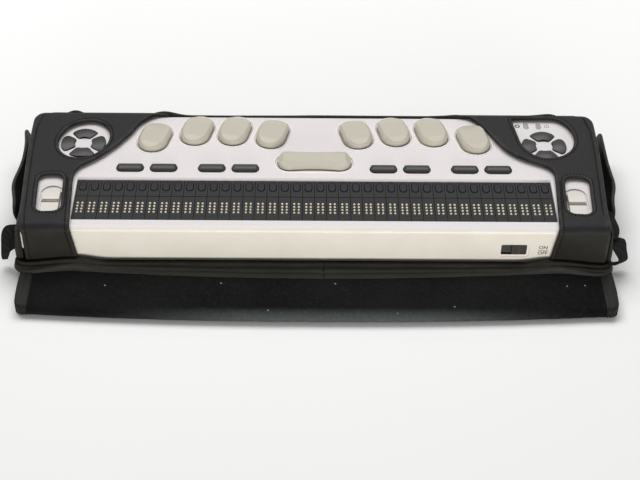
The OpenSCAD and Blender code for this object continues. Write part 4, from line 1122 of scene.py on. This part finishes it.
# %% Outlines of the shoulders
CORNER = CASE_Y - span("case_back_wall")[0][1]
FLARE = sheet_high[0]
EDGE, FRONT_EDGE, FRONT_FOOT = shell_high[0] - 22.8, shell_high[0] - 25.4, shell_high[0] - 28.9
SLIT = {"left": CASE_X - 2.9, "right": CASE_X - 0.7}
SWINGS = {
    "left": [(80.5, 49.2), (87, 47.8), (91, 45.8), (94.5, 43), (98.7, 37.5), (102.3, 29.5), (106.3, 23),
             (109.4, 18.2), (114.4, 12), (119, 7), (124, 2.8), (127.6, -0.4), (129.7, -5), (130.2, -11)],
    "right": [(79, 49.2), (86, 47.2), (90, 44.2), (92.6, 40.6), (95.4, 36), (98.2, 31), (101, 25),
              (105.4, 17.2), (111.5, 10.8), (119, 6.2), (126, 2.6), (129.6, -1.4), (130.4, -6), (130.2, -12)]}
pad_mid = np.abs(middle("right_pad_up", "right_pad_down"))[:2]
scroll_at = np.array([middle("right_scroll_up")[0] + 1.0, shell_low[1] + 26.5])


def flat(points):
    """Plan points (distance from the middle, y) as points of the flat pattern."""
    points = np.asarray(points, float)
    return np.stack([points[:, 0], CASE_Y - points[:, 1]], 1)


def outer_edge():
    """The sheet's outer edge from front to back: it flares out past the side wall."""
    back = CASE_Y - CORNER
    return flat(bezier((CASE_X - 0.9, BEND - CASE_Y), (CASE_X + 0.2, -20), (FLARE, 5), (FLARE, back - 4), 30))


def shoulder_outline(hand):
    """Along the S from the back to the front foot, then back along the outer edge."""
    swing = flat(smooth_path(SWINGS[hand], 5))
    swing[:, 1] = np.maximum(swing[:, 1], SHEET_BACK)
    corners = [(FRONT_EDGE, BEND_START + 2), (FRONT_FOOT, SHEET_END),
               (SLIT[hand], SHEET_END), (SLIT[hand], BEND_END + 2)]
    edge = outer_edge()
    line = np.vstack([swing, corners, edge, [(FLARE, SHEET_BACK)]])
    return rounded(line, [0] * len(swing) + [9, 2, 1.5, 4] + [2] + [0] * (len(edge) - 1) + [9])


def pad_window(hand):
    """A leaning oval on the left, a D on the right."""
    if hand == "left":
        a = np.radians(np.arange(0, 360, 5))
        oval = turned(np.stack([-13.6 * np.sin(a), 16.8 * np.cos(a)], 1), math.radians(17))
        return flat(oval + pad_mid + [-0.4, 1.3])
    parts = [bezier((-15.9, 19), (-16.5, 22.6), (-16.5, 22.6), (-13.5, 22.6), 6),
             bezier((5.5, 22.6), (12, 22.6), (17, 14), (17, 5)),
             bezier((17, 5), (17, -6), (9, -13.2), (0, -13.2)),
             bezier((0, -13.2), (-7, -13.2), (-12.2, -5), (-13.4, 1.8))]
    return flat(np.vstack(parts) + pad_mid)


def scroll_window():
    """A leaning rectangle with round corners."""
    line = rounded(rectangle(-6.5, -15.2, 6.5, 15.2), [4.4] * 4)
    return flat(turned(line, math.radians(-3.6)) + scroll_at)


def shoulder_seams(hand, windows):
    """Lines of stitching on the flat pattern."""
    lines = [(around(window, 2.0), True) for window in windows]
    inner = [(EDGE + 2.4, CASE_Y + 12), (FRONT_EDGE + 2.5, BEND_START),
             (FRONT_EDGE + 2.0, BEND_END), (FRONT_FOOT + 2.6, SHEET_END - 1.5)]
    edge = outer_edge()[::-1] - [2.9, 0]
    outer = [(FLARE - 5, SHEET_BACK + 4.5), *edge[2:-3]]
    if hand == "left":
        outer += [(SLIT[hand] - 2.5, BEND_END + 2), (SLIT[hand] - 2.5, SHEET_END - 1.5)]
    return lines + [(resample(line, 1.0, False), False) for line in (inner, outer)]


print("left outline points:", len(shoulder_outline("left")))

# %% Shoulders cut, bent and sewn
def make_shoulder(hand):
    """One shoulder with its two windows and its seams."""
    side, node = SIDES[hand], hand + "_shoulder"
    windows = [pad_window(hand), scroll_window()]
    seams = shoulder_seams(hand, windows)
    bend = over_front(side)
    sheet = leather_panel(node + "_sheet", shoulder_outline(hand), windows, bend, seams, seed=11 + side)
    place(sheet, ROOT, "leather", node)
    sew(node + "_stitches", seams, bend, -0.02, ROOT, 5 + side, length=1.2, width=0.95)
    return sheet


for hand in SIDES:
    print(hand, "shoulder faces:", len(make_shoulder(hand).data.polygons))

# %% [markdown]
# ## Walls of the case
#
# The back wall is one strip that runs round both back corners. Its top edge is turned over the shoulders
# and pulled by the seam, so it stands up in a few soft lumps; elsewhere it is about as high as the
# device. The side walls have a port for the sockets, and use has pushed their front ends out a little.

# %% Back wall
def back_path():
    """The back wall's line from right to left, and the length along it."""
    a = np.radians(np.linspace(0, 90, 13))
    right = np.stack([CASE_X - CORNER + CORNER * np.cos(a), CASE_Y - CORNER + CORNER * np.sin(a)], 1)
    line = resample(np.vstack([right, right[::-1] * [-1, 1]]), 1.0, False)
    return line, np.r_[0, np.cumsum(np.linalg.norm(np.diff(line, axis=0), axis=1))]


wall_line, wall_at = back_path()


def wall_shape(points):
    """Points (length along the wall, z) in place."""
    x, y = (np.interp(points[:, 0], wall_at, wall_line[:, k]) for k in range(2))
    return np.stack([x, y, points[:, 1]], 1)


WALL_TOP = [
    (-160, 26.9), (-143, 26.9), (-141, 28.0), (-138.6, 29.4), (-136, 29.9), (-133.4, 29.3), (-131, 27.6),
    (-129, 26.8), (-95, 26.8), (-91.5, 28.1), (-88.9, 29.1), (-86, 29.5), (-83, 29.3), (-79.2, 28.2),
    (-75, 27.1), (-71, 26.7), (-48, 26.7), (-14, 27.0), (0, 27.3), (64, 27.2), (75, 27.7), (81, 28.4),
    (86.8, 27.8), (91, 26.8), (107, 26.9), (113, 27.6), (121, 27.9), (129.7, 28.9), (134.3, 29.5),
    (138.2, 28.7), (141, 26.9), (160, 26.9)]


def wall_top(x):
    """Height of the back wall's edge: low behind the keys, with a few lumps at the shoulders."""
    xs, zs = zip(*WALL_TOP)
    return np.mean([np.interp(x + d, xs, zs) for d in (-1.5, -0.5, 0.5, 1.5)], 0) - 0.2


wall_edge = np.stack([wall_at, wall_top(wall_line[:, 0])], 1)
wall_rim = np.vstack([wall_edge, [[wall_at[-1], FLOOR], [0, FLOOR]]])
wall = leather_panel("back_wall", wall_rim, [], surface(wall_shape), [], 2.0, 0.15, 0.2, seed=21, grid=2.6)
place(wall, ROOT, "leather", "case_back_wall")
print("back wall faces:", len(wall.data.polygons), "corner radius:", round(CORNER, 2))

# %% Side walls and floor
PORT_SIDE, PORT_HALF = 1.8, 6.0


def wall_bulge(y, z):
    """How far a side wall has been pushed out towards its front end."""
    return 2.0 * ease(-y, 28, 46) * np.clip((SHEET_TOP - z) / 16, 0, 1)


def make_side(hand):
    """A side wall with its port, seamed round the port."""
    side, node = SIDES[hand], f"case_{hand}_side"
    low, high = span(node)
    sockets = ("usb_socket", "power_socket") if hand == "left" else ("card_socket",)
    y0 = min(span(socket)[0][1] for socket in sockets) - PORT_SIDE
    y1 = max(span(socket)[1][1] for socket in sockets) + PORT_SIDE
    z = middle(sockets[0])[2]
    rim = rounded(rectangle(*low[1:], *high[1:]), [0.6] * 4)
    port = rounded(rectangle(y0, z - PORT_HALF, y1, z + PORT_HALF), [4] * 4)

    def shape(points):
        y, z = points.T
        return np.stack([side * (CASE_X + wall_bulge(y, z)), y, z], 1)

    bend = surface(shape, side)
    seams = [(around(port, 2.4), True)]
    panel = leather_panel(node + "_wall", rim, [port], bend, seams, 2.0, 0.1, 0.0, seed=31 + side, grid=2.4)
    place(panel, ROOT, "leather", node)
    sew(node + "_stitches", seams, bend, 0.42, ROOT, 9 + side)


for hand in SIDES:
    make_side(hand)
floor = dress("case_bottom", "case_floor", LEATHER, ROOT, "leather", 0.7)
print("side walls made, floor faces:", len(floor.data.polygons))

# %% [markdown]
# ## Side flaps
#
# A flap along each side covers the sockets. It hangs from a bead at the floor, leans outwards and has
# gone wavy from being opened. Its top edge is given by a few points seen from above, and a smooth curve
# bulges up to it.

# %% Flaps
FLAP_EDGES = {
    "left": ([-30, -20, -10, -4, 3, 15, 30, 48], [161.4, 162.0, 164.2, 165.4, 164.2, 162.6, 162.8, 165.6]),
    "right": ([-30, -16, -3, 16, 42, 48], [162.0, 162.4, 165.8, 164.6, 164.8, 165.2])}
FLAP_CURL = math.pi * 0.56


def make_flap(hand):
    """A leaf that bulges from its hinge up to its wavy top edge, seamed on three sides."""
    side, node = SIDES[hand], hand + "_side_flap"
    low, high = span(node)
    hinge = AXIS[hand + "_flap_hinge"]
    x0, z0 = abs(hinge[0]) - 0.3, hinge[2] - 0.9
    tall = high[2] - z0 + 1.4
    ys, xs = FLAP_EDGES[hand]

    def shape(points):
        y, t = points[:, 0], np.clip(points[:, 1] / tall, -0.1, 1.1)
        reach = np.mean([np.interp(y + d, ys, xs) for d in (-5, -3, -1, 1, 3, 5)], 0) - x0
        bulge = np.sin(np.clip(t, 0, 1.1) * FLAP_CURL) / math.sin(FLAP_CURL)
        return np.stack([side * (x0 + reach * bulge), y, z0 + points[:, 1] * (1 - 0.06 * t)], 1)

    bend = surface(shape, side)
    rim = rounded([(low[1], 0), (high[1], 0), (high[1] + 1, tall), (low[1] - 1, tall)], [1, 1, 6, 6])
    corners = [(low[1] + 2, 1.5), (low[1] + 1.6, tall - 2.4), (high[1] - 1.6, tall - 2.4), (high[1] - 2, 1.5)]
    seams = [(resample(corners, 1.0, False), False)]
    flap = leather_panel(node + "_leaf", rim, [], bend, seams, 1.8, 0.25, 0.3, seed=41 + side, grid=2.2)
    place(flap, node, "leather", node)
    sew(node + "_stitches", seams, bend, 0.16, node, 15 + side)


for hand in SIDES:
    make_flap(hand)
print("flaps made")

# %% [markdown]
# ## Strap loops
#
# A loop of flat webbing at each front corner takes a shoulder strap. It is a band that starts and ends in
# the seam of the side wall, and it hangs slack and twisted, so both its edges are given. On the right a
# short tab of the same webbing lies between the flap and the loop. A sweep needs only the sections, so
# one function joins them for the loops, the lip and the cover alike. The front edge of each side wall is
# rolled; on the left it stands a little away from the shoulder, and the pale back of the leather shows in
# the slit. A welt closes the seam between each shoulder and the back wall.

# %% Sweeps
def sweep(name, sections, *materials, wear=None, sharp=60):
    """Joins closed sections, each an array of points, into one closed mesh."""
    sections = np.asarray(sections, float)
    n, m = sections.shape[:2]
    faces = ring_faces(n, m) + [list(range(m))[::-1], list(range((n - 1) * m, n * m))]
    return closed(add_piece(name, sections.reshape(-1, 3), faces, *materials, wear=wear), sharp)


print("sweep ready")

# %% Twisted bands
LOOP_THICK = 1.5
LOOPS = {
    "left": [((-0.5, -42.5, 16.5), (-0.5, -42.5, 24.5)), ((3.6, -45.5, 15.5), (5.7, -44.5, 25.3)),
             ((4.5, -47.5, 13.5), (8.5, -46.5, 21.9)), ((5.1, -49, 10.8), (9.4, -48.5, 14.6)),
             ((6, -49.4, 8.2), (10, -49, 8.2)), ((7.1, -47.5, 5.4), (9.9, -47, 5)),
             ((5.1, -46, 9.2), (7.9, -46, 14.6)), ((-0.5, -45, 11.5), (-0.5, -45, 20.5))],
    "right": [((-1, -47.5, 16.5), (1, -41.5, 18)), ((1.1, -48.5, 16.7), (7.4, -44, 18.4)),
              ((2, -49, 15.4), (9, -46, 18.4)), ((4, -49.3, 12.1), (10.1, -47.5, 13.3)),
              ((6.2, -49.5, 8.3), (11.5, -47, 7.5)), ((6.2, -49.5, 6.1), (10.1, -46.8, 5)),
              ((4.3, -49.5, 4.6), (5.1, -47.4, 4)), ((1, -49.5, 5.2), (1, -47.4, 4.4))]}
TAB = [((-0.8, -31.6, 28), (3.1, -31.6, 25.2)), ((-0.8, -34, 26), (4.9, -34, 22.2)),
       ((-0.8, -38, 24), (6.1, -38, 21)), ((-0.8, -42, 22), (6, -42, 20.4)),
       ((-0.8, -45.5, 19), (4.8, -45.5, 19.6))]


def make_band(name, hand, edge_points):
    """A twisted band by points (out from the wall, y, z) on its two edges."""
    edges = smooth_path([(CASE_X + a[0], *a[1:], CASE_X + b[0], *b[1:]) for a, b in edge_points])
    path, wide = (edges[:, :3] + edges[:, 3:]) / 2, (edges[:, 3:] - edges[:, :3]) / 2
    normal = np.cross(np.gradient(path, axis=0), wide)
    normal /= np.linalg.norm(normal, axis=1, keepdims=True)
    corner = np.radians(np.linspace(0, 360, 16, endpoint=False))
    across = np.sign(np.cos(corner)) * np.abs(np.cos(corner)) ** 0.35
    out = LOOP_THICK / 2 * np.sign(np.sin(corner)) * np.abs(np.sin(corner)) ** 0.5
    sections = [p + np.outer(across, w) + np.outer(out, n) for p, w, n in zip(path, wide, normal)]
    return sweep(name, np.array(sections) * [SIDES[hand], 1, 1], WEBBING)


print("points on the bands:", [len(points) for points in (*LOOPS.values(), TAB)])

# %% Rolled edges, welts and bands
ROLL_GAP, WELT_FROM = {"left": 0.9, "right": 0.3}, 84


def post(name, hand, heights, inner, outer, y, half, material):
    """An upright oval strip beside a side wall; outer may differ from height to height."""
    angle = np.radians(np.arange(0, 360, 22.5))
    x = (inner + outer)[:, None] / 2 + (outer - inner)[:, None] / 2 * np.cos(angle)
    y, z = np.broadcast_arrays(y + half * np.sin(angle), heights[:, None])
    return place(sweep(name, np.stack([SIDES[hand] * x, y, z], 2), material), ROOT, "leather")


def make_wall_roll(hand):
    """The rolled front edge of a side wall, from the floor to the shoulder's sheet."""
    heights = np.linspace(FLOOR - 0.5, SHEET_TOP - 2.2, 24)
    inner, outer = SLIT[hand] + ROLL_GAP[hand], CASE_X + 0.2 + wall_bulge(-CASE_Y, heights)
    post(f"case_{hand}_roll", hand, heights, inner, outer, 2.1 - CASE_Y, 1.4, LEATHER)


def make_back_welt(hand):
    """The welt sewn in between a shoulder's back edge and the back wall."""
    line = wall_line[SIDES[hand] * wall_line[:, 0] > WELT_FROM]
    angle = np.radians(np.arange(0, 360, 30))
    reach, height = 2.3 + 0.95 * np.cos(angle), SHEET_TOP - 2.4 + 0.9 * np.sin(angle)
    sections = [np.column_stack([p + np.outer(reach, n), height]) for p, n in zip(line, left_of(line))]
    place(sweep(hand + "_back_welt", sections, LEATHER), ROOT, "leather")


slit = SLIT["left"]
lining_z, lining_x = np.array([14.5, 15, 25.3, 25.8]), slit + np.array([0.6, 1.1, 1.1, 0.6])
post("left_edge_lining", "left", lining_z, slit - 0.2, lining_x, 2.2 - CASE_Y, 0.7, SUEDE)
for hand in SIDES:
    make_wall_roll(hand)
    make_back_welt(hand)
    loop_node = hand + "_strap_loop"
    place(make_band(loop_node + "_band", hand, LOOPS[hand]), ROOT, "webbing", loop_node)
place(make_band("right_strap_tab", "right", TAB), ROOT, "webbing")
print("bands:", len(LOOPS) + 1)

# %% [markdown]
# ## The lip along the hinge
#
# The cover turns about a welt along the case's front edge. The leather over it is rolled into three soft
# ridges: the welt, a stuffed fold, and the sewn front edge, which is bowed out in the middle. It is one
# long sweep along the edge and round both corners. The feet of the shoulders are sewn in from above and
# lift it. Its back edge stays with the case and its front edge goes with the cover's spine, so it bends
# between those two bodies.

# %% Lip
LIP_CORNER, LIP_RUN, LIP_SIDE, LIP_IN = 4.0, 8.0, 2.2, 1.2
FOOT = FRONT_FOOT + 3
JOIN_X = 5.0
WELT = -CASE_Y - HINGE_Y


def lip_reach(x):
    """How far the lip's front edge comes out from the case at x."""
    a = np.abs(x)
    return WELT + 9.2 - 5.2 * np.minimum(a / FOOT, 1) ** 2 + 2.2 * np.clip((a - FOOT) / 20, 0, 1) ** 1.5


def lip_lift(x):
    """How much the foot of a shoulder lifts the lip at x."""
    a = np.abs(x)
    return 3.3 * ease(a, FOOT - 20, FOOT - 2) * (1 - 0.9 * ease(a, FOOT, CASE_X - 3))


def lip_section(at, out, reach, lift):
    """Closed section of the lip at a plan point; out is the outward direction there."""
    n = np.linspace(-LIP_IN, reach, 34)
    small = min(1.0, reach / 7)
    first = min(WELT, 0.5 * reach)
    second = first + (reach - first) * 0.5
    wobble = 0.12 * math.sin(at[0] / 7.0) + 0.1 * math.sin(at[0] / 17.0 + 1)
    top = 0.5 * ease(n, -0.4, 1.4) + 1.45 * hump(n, first, 1.25 * small)
    top += (1.25 + wobble) * hump(n, second, 1.15 * small)
    top += (0.8 - wobble * 0.6) * hump(reach - n, 1.1 * small, 0.85 * small)
    top -= 0.7 * hump(at[0], JOIN_X, 0.5)
    top = (top + lift * (1 - 0.75 * ease(n, 0, reach))) * np.sqrt(np.clip((reach - n) / 0.9, 0, 1))
    under = np.where(reach - n < 0.3, 0.0, -0.1)[::-1]
    line = np.vstack([np.stack([n, top], 1), np.stack([n[::-1], under], 1)[1:-1]])
    plan = np.asarray(at) + np.outer(line[:, 0], out)
    return np.column_stack([plan, HINGE_Z - 0.15 + line[:, 1]])


def lip_sections():
    """Sections from the right side, along the front, to the left side."""
    flat_x = CASE_X - LIP_CORNER
    front = lip_reach(flat_x)
    half = []
    for t in np.linspace(1, 0, 6)[:-1]:
        at = (CASE_X, LIP_CORNER - CASE_Y + t * LIP_RUN)
        half.append((at, (1, 0), LIP_SIDE - 1.4 * t, 0.3 - 0.6 * t))
    for a in np.radians(np.linspace(90, 0, 12)):
        out = np.array([math.sin(a), -math.cos(a)])
        at = np.array([flat_x, LIP_CORNER - CASE_Y]) + LIP_CORNER * out
        half.append((at, out, LIP_SIDE + (front - LIP_SIDE) * math.cos(a) ** 2, 0.3))
    xs = np.unique(np.r_[np.linspace(-flat_x, flat_x, 112)[1:-1], JOIN_X + np.linspace(-1.2, 1.2, 7)])[::-1]
    between = [((x, -CASE_Y), (0, -1), lip_reach(x), lip_lift(x)) for x in xs]
    other = [((-at[0], at[1]), (-out[0], out[1]), reach, lift) for at, out, reach, lift in half[::-1]]
    return [lip_section(*station) for station in half + between + other]


sections = lip_sections()
lip_wear = np.concatenate([np.clip((s[:, 2] - HINGE_Z - 0.9) / 0.9, 0, 1) * 0.3 for s in sections])
lip = sweep("hinge_lip", sections, LEATHER, wear=lip_wear, sharp=80)
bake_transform(lip, ROOT, "spine",
         (0, (HINGE_Y + 0.8) * MM, HINGE_Z * MM), (0, (HINGE_Y - 1.6) * MM, HINGE_Z * MM))
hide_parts("hinge_welt", "hinge_strip")
print("lip sections:", len(sections), "reach in the middle:", round(float(lip_reach(0.0)), 1))

# %% [markdown]
# ## The cover
#
# The cover has two stiffened leaves: the narrow spine that lies in front, and the main panel, folded back
# under the case. Fleece lines the inside and runs round the fold in one piece, bowed forward in the
# middle, so the fleece is a thin skin that bends at the fold. Leather covers the other faces, and a
# leather strip binds the two ends.

# %% Fleece skin round the fold
def fold_line(x):
    """Where the fold's centre lies at x: further forward in the middle."""
    return FOLD_Y - 2.7 + 4.7 * (np.abs(x) / 150) ** 2.2


COVER_X = spine_high[0]
SKEW = 1.5
BIND = 6.6
R_OUT = FOLD_Z
TOP, UNDER = FOLD_Z + R_OUT, FOLD_Z - R_OUT


def skewed(obj):
    """Moves a piece of the cover to where it was sewn on, a little to the right."""
    obj.data.transform(Matrix.Translation((SKEW * MM, 0, 0)))
    return obj


def skin_path(x):
    """Section of the lining at x: over the spine, round the fold and back below, with outward normals."""
    centre = fold_line(x)
    over, below = np.linspace(HINGE_Y - 1.2, centre, 16)[:-1], np.linspace(centre, centre + 6, 5)[1:]
    bow = np.linspace(0, math.pi, 15)
    y = np.r_[over, np.full(len(bow), centre), below]
    turn = np.r_[np.zeros(len(over)), bow, np.full(len(below), math.pi)]
    normal = np.stack([-np.sin(turn), np.cos(turn)], 1)
    return np.column_stack([y, np.full(len(y), FOLD_Z)]) + R_OUT * normal, normal


def skin_section(x, outer, inner):
    """Closed section of a skin between two heights over the path."""
    path, normal = skin_path(x)
    over, below = (path + normal * np.reshape(height, (-1, 1)) for height in (outer, inner))
    line = np.vstack([over, below[::-1]])
    return np.column_stack([np.full(len(line), x), line])


def fleece_section(x):
    """The lining's section at x, with a nap that rises only on the flat top."""
    path, _ = skin_path(x)
    spots = np.column_stack([np.full(len(path), x), path[:, 0]])
    nap = 0.07 * waves(spots, 51, 26) + 0.05 * waves(spots, 52, 9)
    return skin_section(x, np.clip(nap, -0.2, np.where(path[:, 1] > TOP - 0.01, 0.2, 0.0)), -0.3)


skin_x = COVER_X - BIND + 0.6
sections = [fleece_section(x) for x in np.linspace(-skin_x, skin_x, 121)]
skin = skewed(sweep("fleece_skin", sections, FLEECE, sharp=70))
FOLD_ENDS = ((0, FOLD_Y * MM, (TOP - 0.4) * MM), (0, FOLD_Y * MM, (UNDER + 0.4) * MM))
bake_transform(skin, "spine", "panel", *FOLD_ENDS)
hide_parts("fold_nose")
print("fleece skin faces:", len(skin.data.polygons))

# %% Leaves of the cover
def bar(points, x0, x1, count):
    """Sections of a bar that runs along X with one outline in Y and Z."""
    points = np.asarray(points, float)
    return [np.column_stack([np.full(len(points), x), points]) for x in np.linspace(x0, x1, count)]


def level(z, out=1):
    """A bend that lays a sheet flat at a height."""
    return surface(lambda points: np.column_stack([points, np.full(len(points), z)]), out)


core_low, core_high, core_back = FOLD_Z + 0.2, TOP - 0.27, HINGE_Y - 2.0
core = [(FOLD_Y + 0.8, core_low), (core_back, core_low), (core_back, core_high), (FOLD_Y + 3.2, core_high)]
core = rounded(core, [0.2, 0.5, 0.3, 0.2])
spine = sweep("spine_leather", bar(core, -COVER_X + 0.9, COVER_X - 0.9, 40), LEATHER)
place(skewed(spine), "spine", "leather", "cover_spine")

PANEL_R, PANEL_BACK = 8.0, panel_high[1]
leaf_x = COVER_X - 0.6
panel_rim = rounded(rectangle(-leaf_x, FOLD_Y + 1.9, leaf_x, PANEL_BACK - 0.6), [0.5, 0.5, PANEL_R, PANEL_R])
on_top = level(panel_high[2])
leaf = leather_panel("panel_leather", panel_rim, [], on_top, [], 2.66, 0.0, 0.0, 0.02, seed=61, grid=5)
place(skewed(leaf), "panel", "leather", "cover_panel")

fleece_x, fleece_back = COVER_X - BIND + 0.8, PANEL_BACK - BIND + 0.8
front = np.linspace(-fleece_x, fleece_x, 41)
front = np.stack([front, fold_line(front) + 5.8], 1)
fleece_rim = np.vstack([front, [(fleece_x, fleece_back), (-fleece_x, fleece_back)]])
beneath = level(UNDER + 0.02, -1)
lining = leather_panel("panel_fleece", fleece_rim, [], beneath, [], 0.5, 0.0, 0.0, 0.03,
                       seed=62, grid=5, material=FLEECE)
place(skewed(lining), "panel", "lining")
print("leaves:", len(spine.data.polygons), len(leaf.data.polygons), len(lining.data.polygons))

# %% [markdown]
# ## Binding of the cover
#
# The leaves' ends are bound with a leather strip about seven millimetres wide. On the spine it runs down
# both ends and round the fold, and bulges a little over its filling; on the panel it runs round three
# edges.

# %% Bindings
NOSE = skin_path(0.0)[1][:, 0] < -1e-6
BINDING_STEPS = np.r_[0, 0.03, np.linspace(0.08, 0.86, 14), 0.9, 0.94, 0.97, 0.99, 1.0]
SPINE_EDGE = [(0, 0.25), (1.3, 0.3), (2.1, 0.9), (2.4, 1.7), (2.1, 2.4), (1.4, 2.85), (0, 2.86)]
HEM_EDGE = [(-BIND, 0.12), (-BIND + 0.5, 0.0), (-0.9, 0.0), (-0.2, 0.4), (0.2, 1.5),
            (-0.2, 2.65), (-0.9, 3.12), (-BIND + 0.5, 3.12), (-BIND, 2.9)]


def end_binding(hand):
    """The strip round the fold at one end; t runs from its sewn edge to the cover's end."""
    side = SIDES[hand]
    sections, wear = [], []
    for t in BINDING_STEPS:
        x = side * (COVER_X - BIND + t * BIND)
        ridge = 0.12 + 0.34 * hump(t, 0.14, 0.07) + 0.28 * hump(t, 0.62, 0.28)
        drop = 1 - math.sqrt(max(1 - max((t - 0.86) / 0.14, 0) ** 2, 0))
        depth = np.where(NOSE, -0.36 - (R_OUT - 0.6) * ease(t, 0.75, 0.9), -0.36)
        part = skin_section(x, ridge - drop * 0.6, depth)
        nose = np.clip((fold_line(x) + 1.5 - part[:, 1]) / (R_OUT + 1.5), 0, 1)
        part[:, 0] -= side * t * 3.2 * nose ** 2
        along = np.clip((part[:, 1] - fold_line(x)) / 26, 0, 1)
        part[:, 0] += side * t * 0.5 * np.sin(along * math.pi)
        part[:, 2] = np.maximum(part[:, 2], UNDER)
        sections.append(part)
        wear.append(np.full(len(part), 0.9 * hump(t, 0.14, 0.1) + 0.5 * max(t - 0.8, 0) / 0.2))
    obj = skewed(sweep(f"{hand}_end_binding", sections, BINDING, wear=np.concatenate(wear), sharp=80))
    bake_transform(obj, "spine", "panel", *FOLD_ENDS)


def spine_edge(hand):
    """The bulging edge at one end of the spine, over its filling."""
    ys = np.linspace(FOLD_Y + 3.0, HINGE_Y - 2.0, 24)
    bulge = 0.35 * np.sin(np.linspace(0, math.pi, len(ys)))
    grown = ease(ys, ys[0] - 1, ys[0] + 6)
    strip = [[(SIDES[hand] * (COVER_X - 2.3 + (o + b) * g), y, FOLD_Z + h) for o, h in SPINE_EDGE]
             for y, b, g in zip(ys, bulge, grown)]
    place(skewed(sweep(f"{hand}_spine_edge", strip, BINDING, sharp=80)), "spine", "leather")


for hand in SIDES:
    end_binding(hand)
    spine_edge(hand)
hem_x, hem_front, hem_back = COVER_X - 0.4, FOLD_Y + 4.2, PANEL_BACK - 0.4
hem = rounded([(-hem_x, hem_front), (-hem_x, hem_back), (hem_x, hem_back), (hem_x, hem_front)],
              [0.01, PANEL_R, PANEL_R, 0.01])
hem = resample(hem[9:-9], 3.0, False)
sections = [[(*(p + n * o), h) for o, h in HEM_EDGE] for p, n in zip(hem, left_of(hem))]
place(skewed(sweep("panel_binding", sections, BINDING, sharp=80)), "panel", "leather")
print("bindings made; hem length, mm:", round(3.0 * len(hem)))

# %% [markdown]
# ## Stage
#
# The camera stands where the photo was taken: the forty cells give its distance and tilt. The floor is
# pale and catches the shadow, the light is a broad soft box overhead with a weaker one in front, and the
# world fills in the rest.

# %% Camera
FOCAL, ELEVATION, AZIMUTH, ROLL, DISTANCE = 1450.0, 41.8621, -0.9696, 0.9762, 770.5831
SHIFT, TARGET = (-4.3, -31.8626), np.array([0.6, -30.4, 26.6])
e, a, r = (math.radians(v) for v in (ELEVATION, AZIMUTH, ROLL))
back = np.array([math.sin(a) * math.cos(e), -math.cos(a) * math.cos(e), math.sin(e)])
across = np.array([math.cos(a), math.sin(a), 0.0])
upright = np.cross(back, across)
right = across * math.cos(r) + upright * math.sin(r)
up = upright * math.cos(r) - across * math.sin(r)
eye = TARGET + DISTANCE * (back - right * SHIFT[0] / FOCAL + up * SHIFT[1] / FOCAL)
lens = bpy.data.cameras.new("camera")
lens.sensor_fit, lens.sensor_width, lens.lens = "HORIZONTAL", 36.0, 36.0 * FOCAL / 640
lens.clip_start, lens.clip_end = 0.02, 20.0
camera = add_object("camera", lens)
axes = np.stack([right, up, back], 1).tolist()
camera.matrix_world = Matrix([[*row, place_at * MM] for row, place_at in zip(axes, eye)] + [[0, 0, 0, 1]])
bpy.context.scene.camera = camera
print("camera at, mm:", np.round(eye, 1))

# %% Floor and light
FLOOR_HALF, FLOOR_Z = 3000, -0.05


def make_floor():
    """A pale sheet that only catches shadows."""
    p = Paint("floor", Roughness=0.9, Specular_IOR_Level=0.1)
    p.set(Base_Color=p.mix(p.noise(6, 2) * 0.5, (251, 251, 251), (254, 254, 254)))
    corners = [(*at, FLOOR_Z) for at in rectangle(-FLOOR_HALF, -FLOOR_HALF, FLOOR_HALF, FLOOR_HALF)]
    obj = add_piece("floor", corners, [[0, 1, 2, 3]], p.material)


def soft_box(name, at, aim, size, power):
    """A rectangular area light that points at a spot."""
    lamp = bpy.data.lights.new(name, "AREA")
    lamp.shape, lamp.size, lamp.size_y, lamp.energy = "RECTANGLE", *size, power
    obj = add_object(name, lamp)
    turn = (Vector(at) - Vector(aim)).to_track_quat("Z", "Y")
    obj.matrix_world = Matrix.Translation(at) @ turn.to_matrix().to_4x4()


def make_world(fill):
    """White behind everything and in reflections; a plain fill for light."""
    world = bpy.data.worlds.new("studio")
    bpy.context.scene.world = world
    world.use_nodes = True
    graph = Graph(world.node_tree)
    rays = graph.tree.nodes.new("ShaderNodeLightPath").outputs
    shown, glossy, through = (
        Wire(graph, rays[title]) for title in ("Is Camera Ray", "Is Glossy Ray", "Is Transmission Ray"))
    either = shown.math("MAXIMUM", shown, glossy)
    either = either.math("MAXIMUM", either, through)
    white = graph.node("ShaderNodeBackground", {}, {"Color": (1, 1, 1, 1)})
    light = graph.node("ShaderNodeBackground", {}, {"Color": (1, 0.99, 0.97, 1), "Strength": fill})
    mixed = graph.node("ShaderNodeMixShader", {}, {0: either, 1: light, 2: white})
    graph.feed(graph.tree.nodes.new("ShaderNodeOutputWorld").inputs[0], mixed)


make_floor()
make_world(0.24)
soft_box("overhead", (-0.15, 0.72, 1.25), (0, 0, 0), (1.8, 0.8), 20.5)
soft_box("front", (0.15, -1.4, 0.16), (0.05, -0.03, 0.01), (1.2, 0.28), 15.0)
bpy.context.scene.view_settings.view_transform = "Standard"
print("lights:", len(bpy.data.lights))
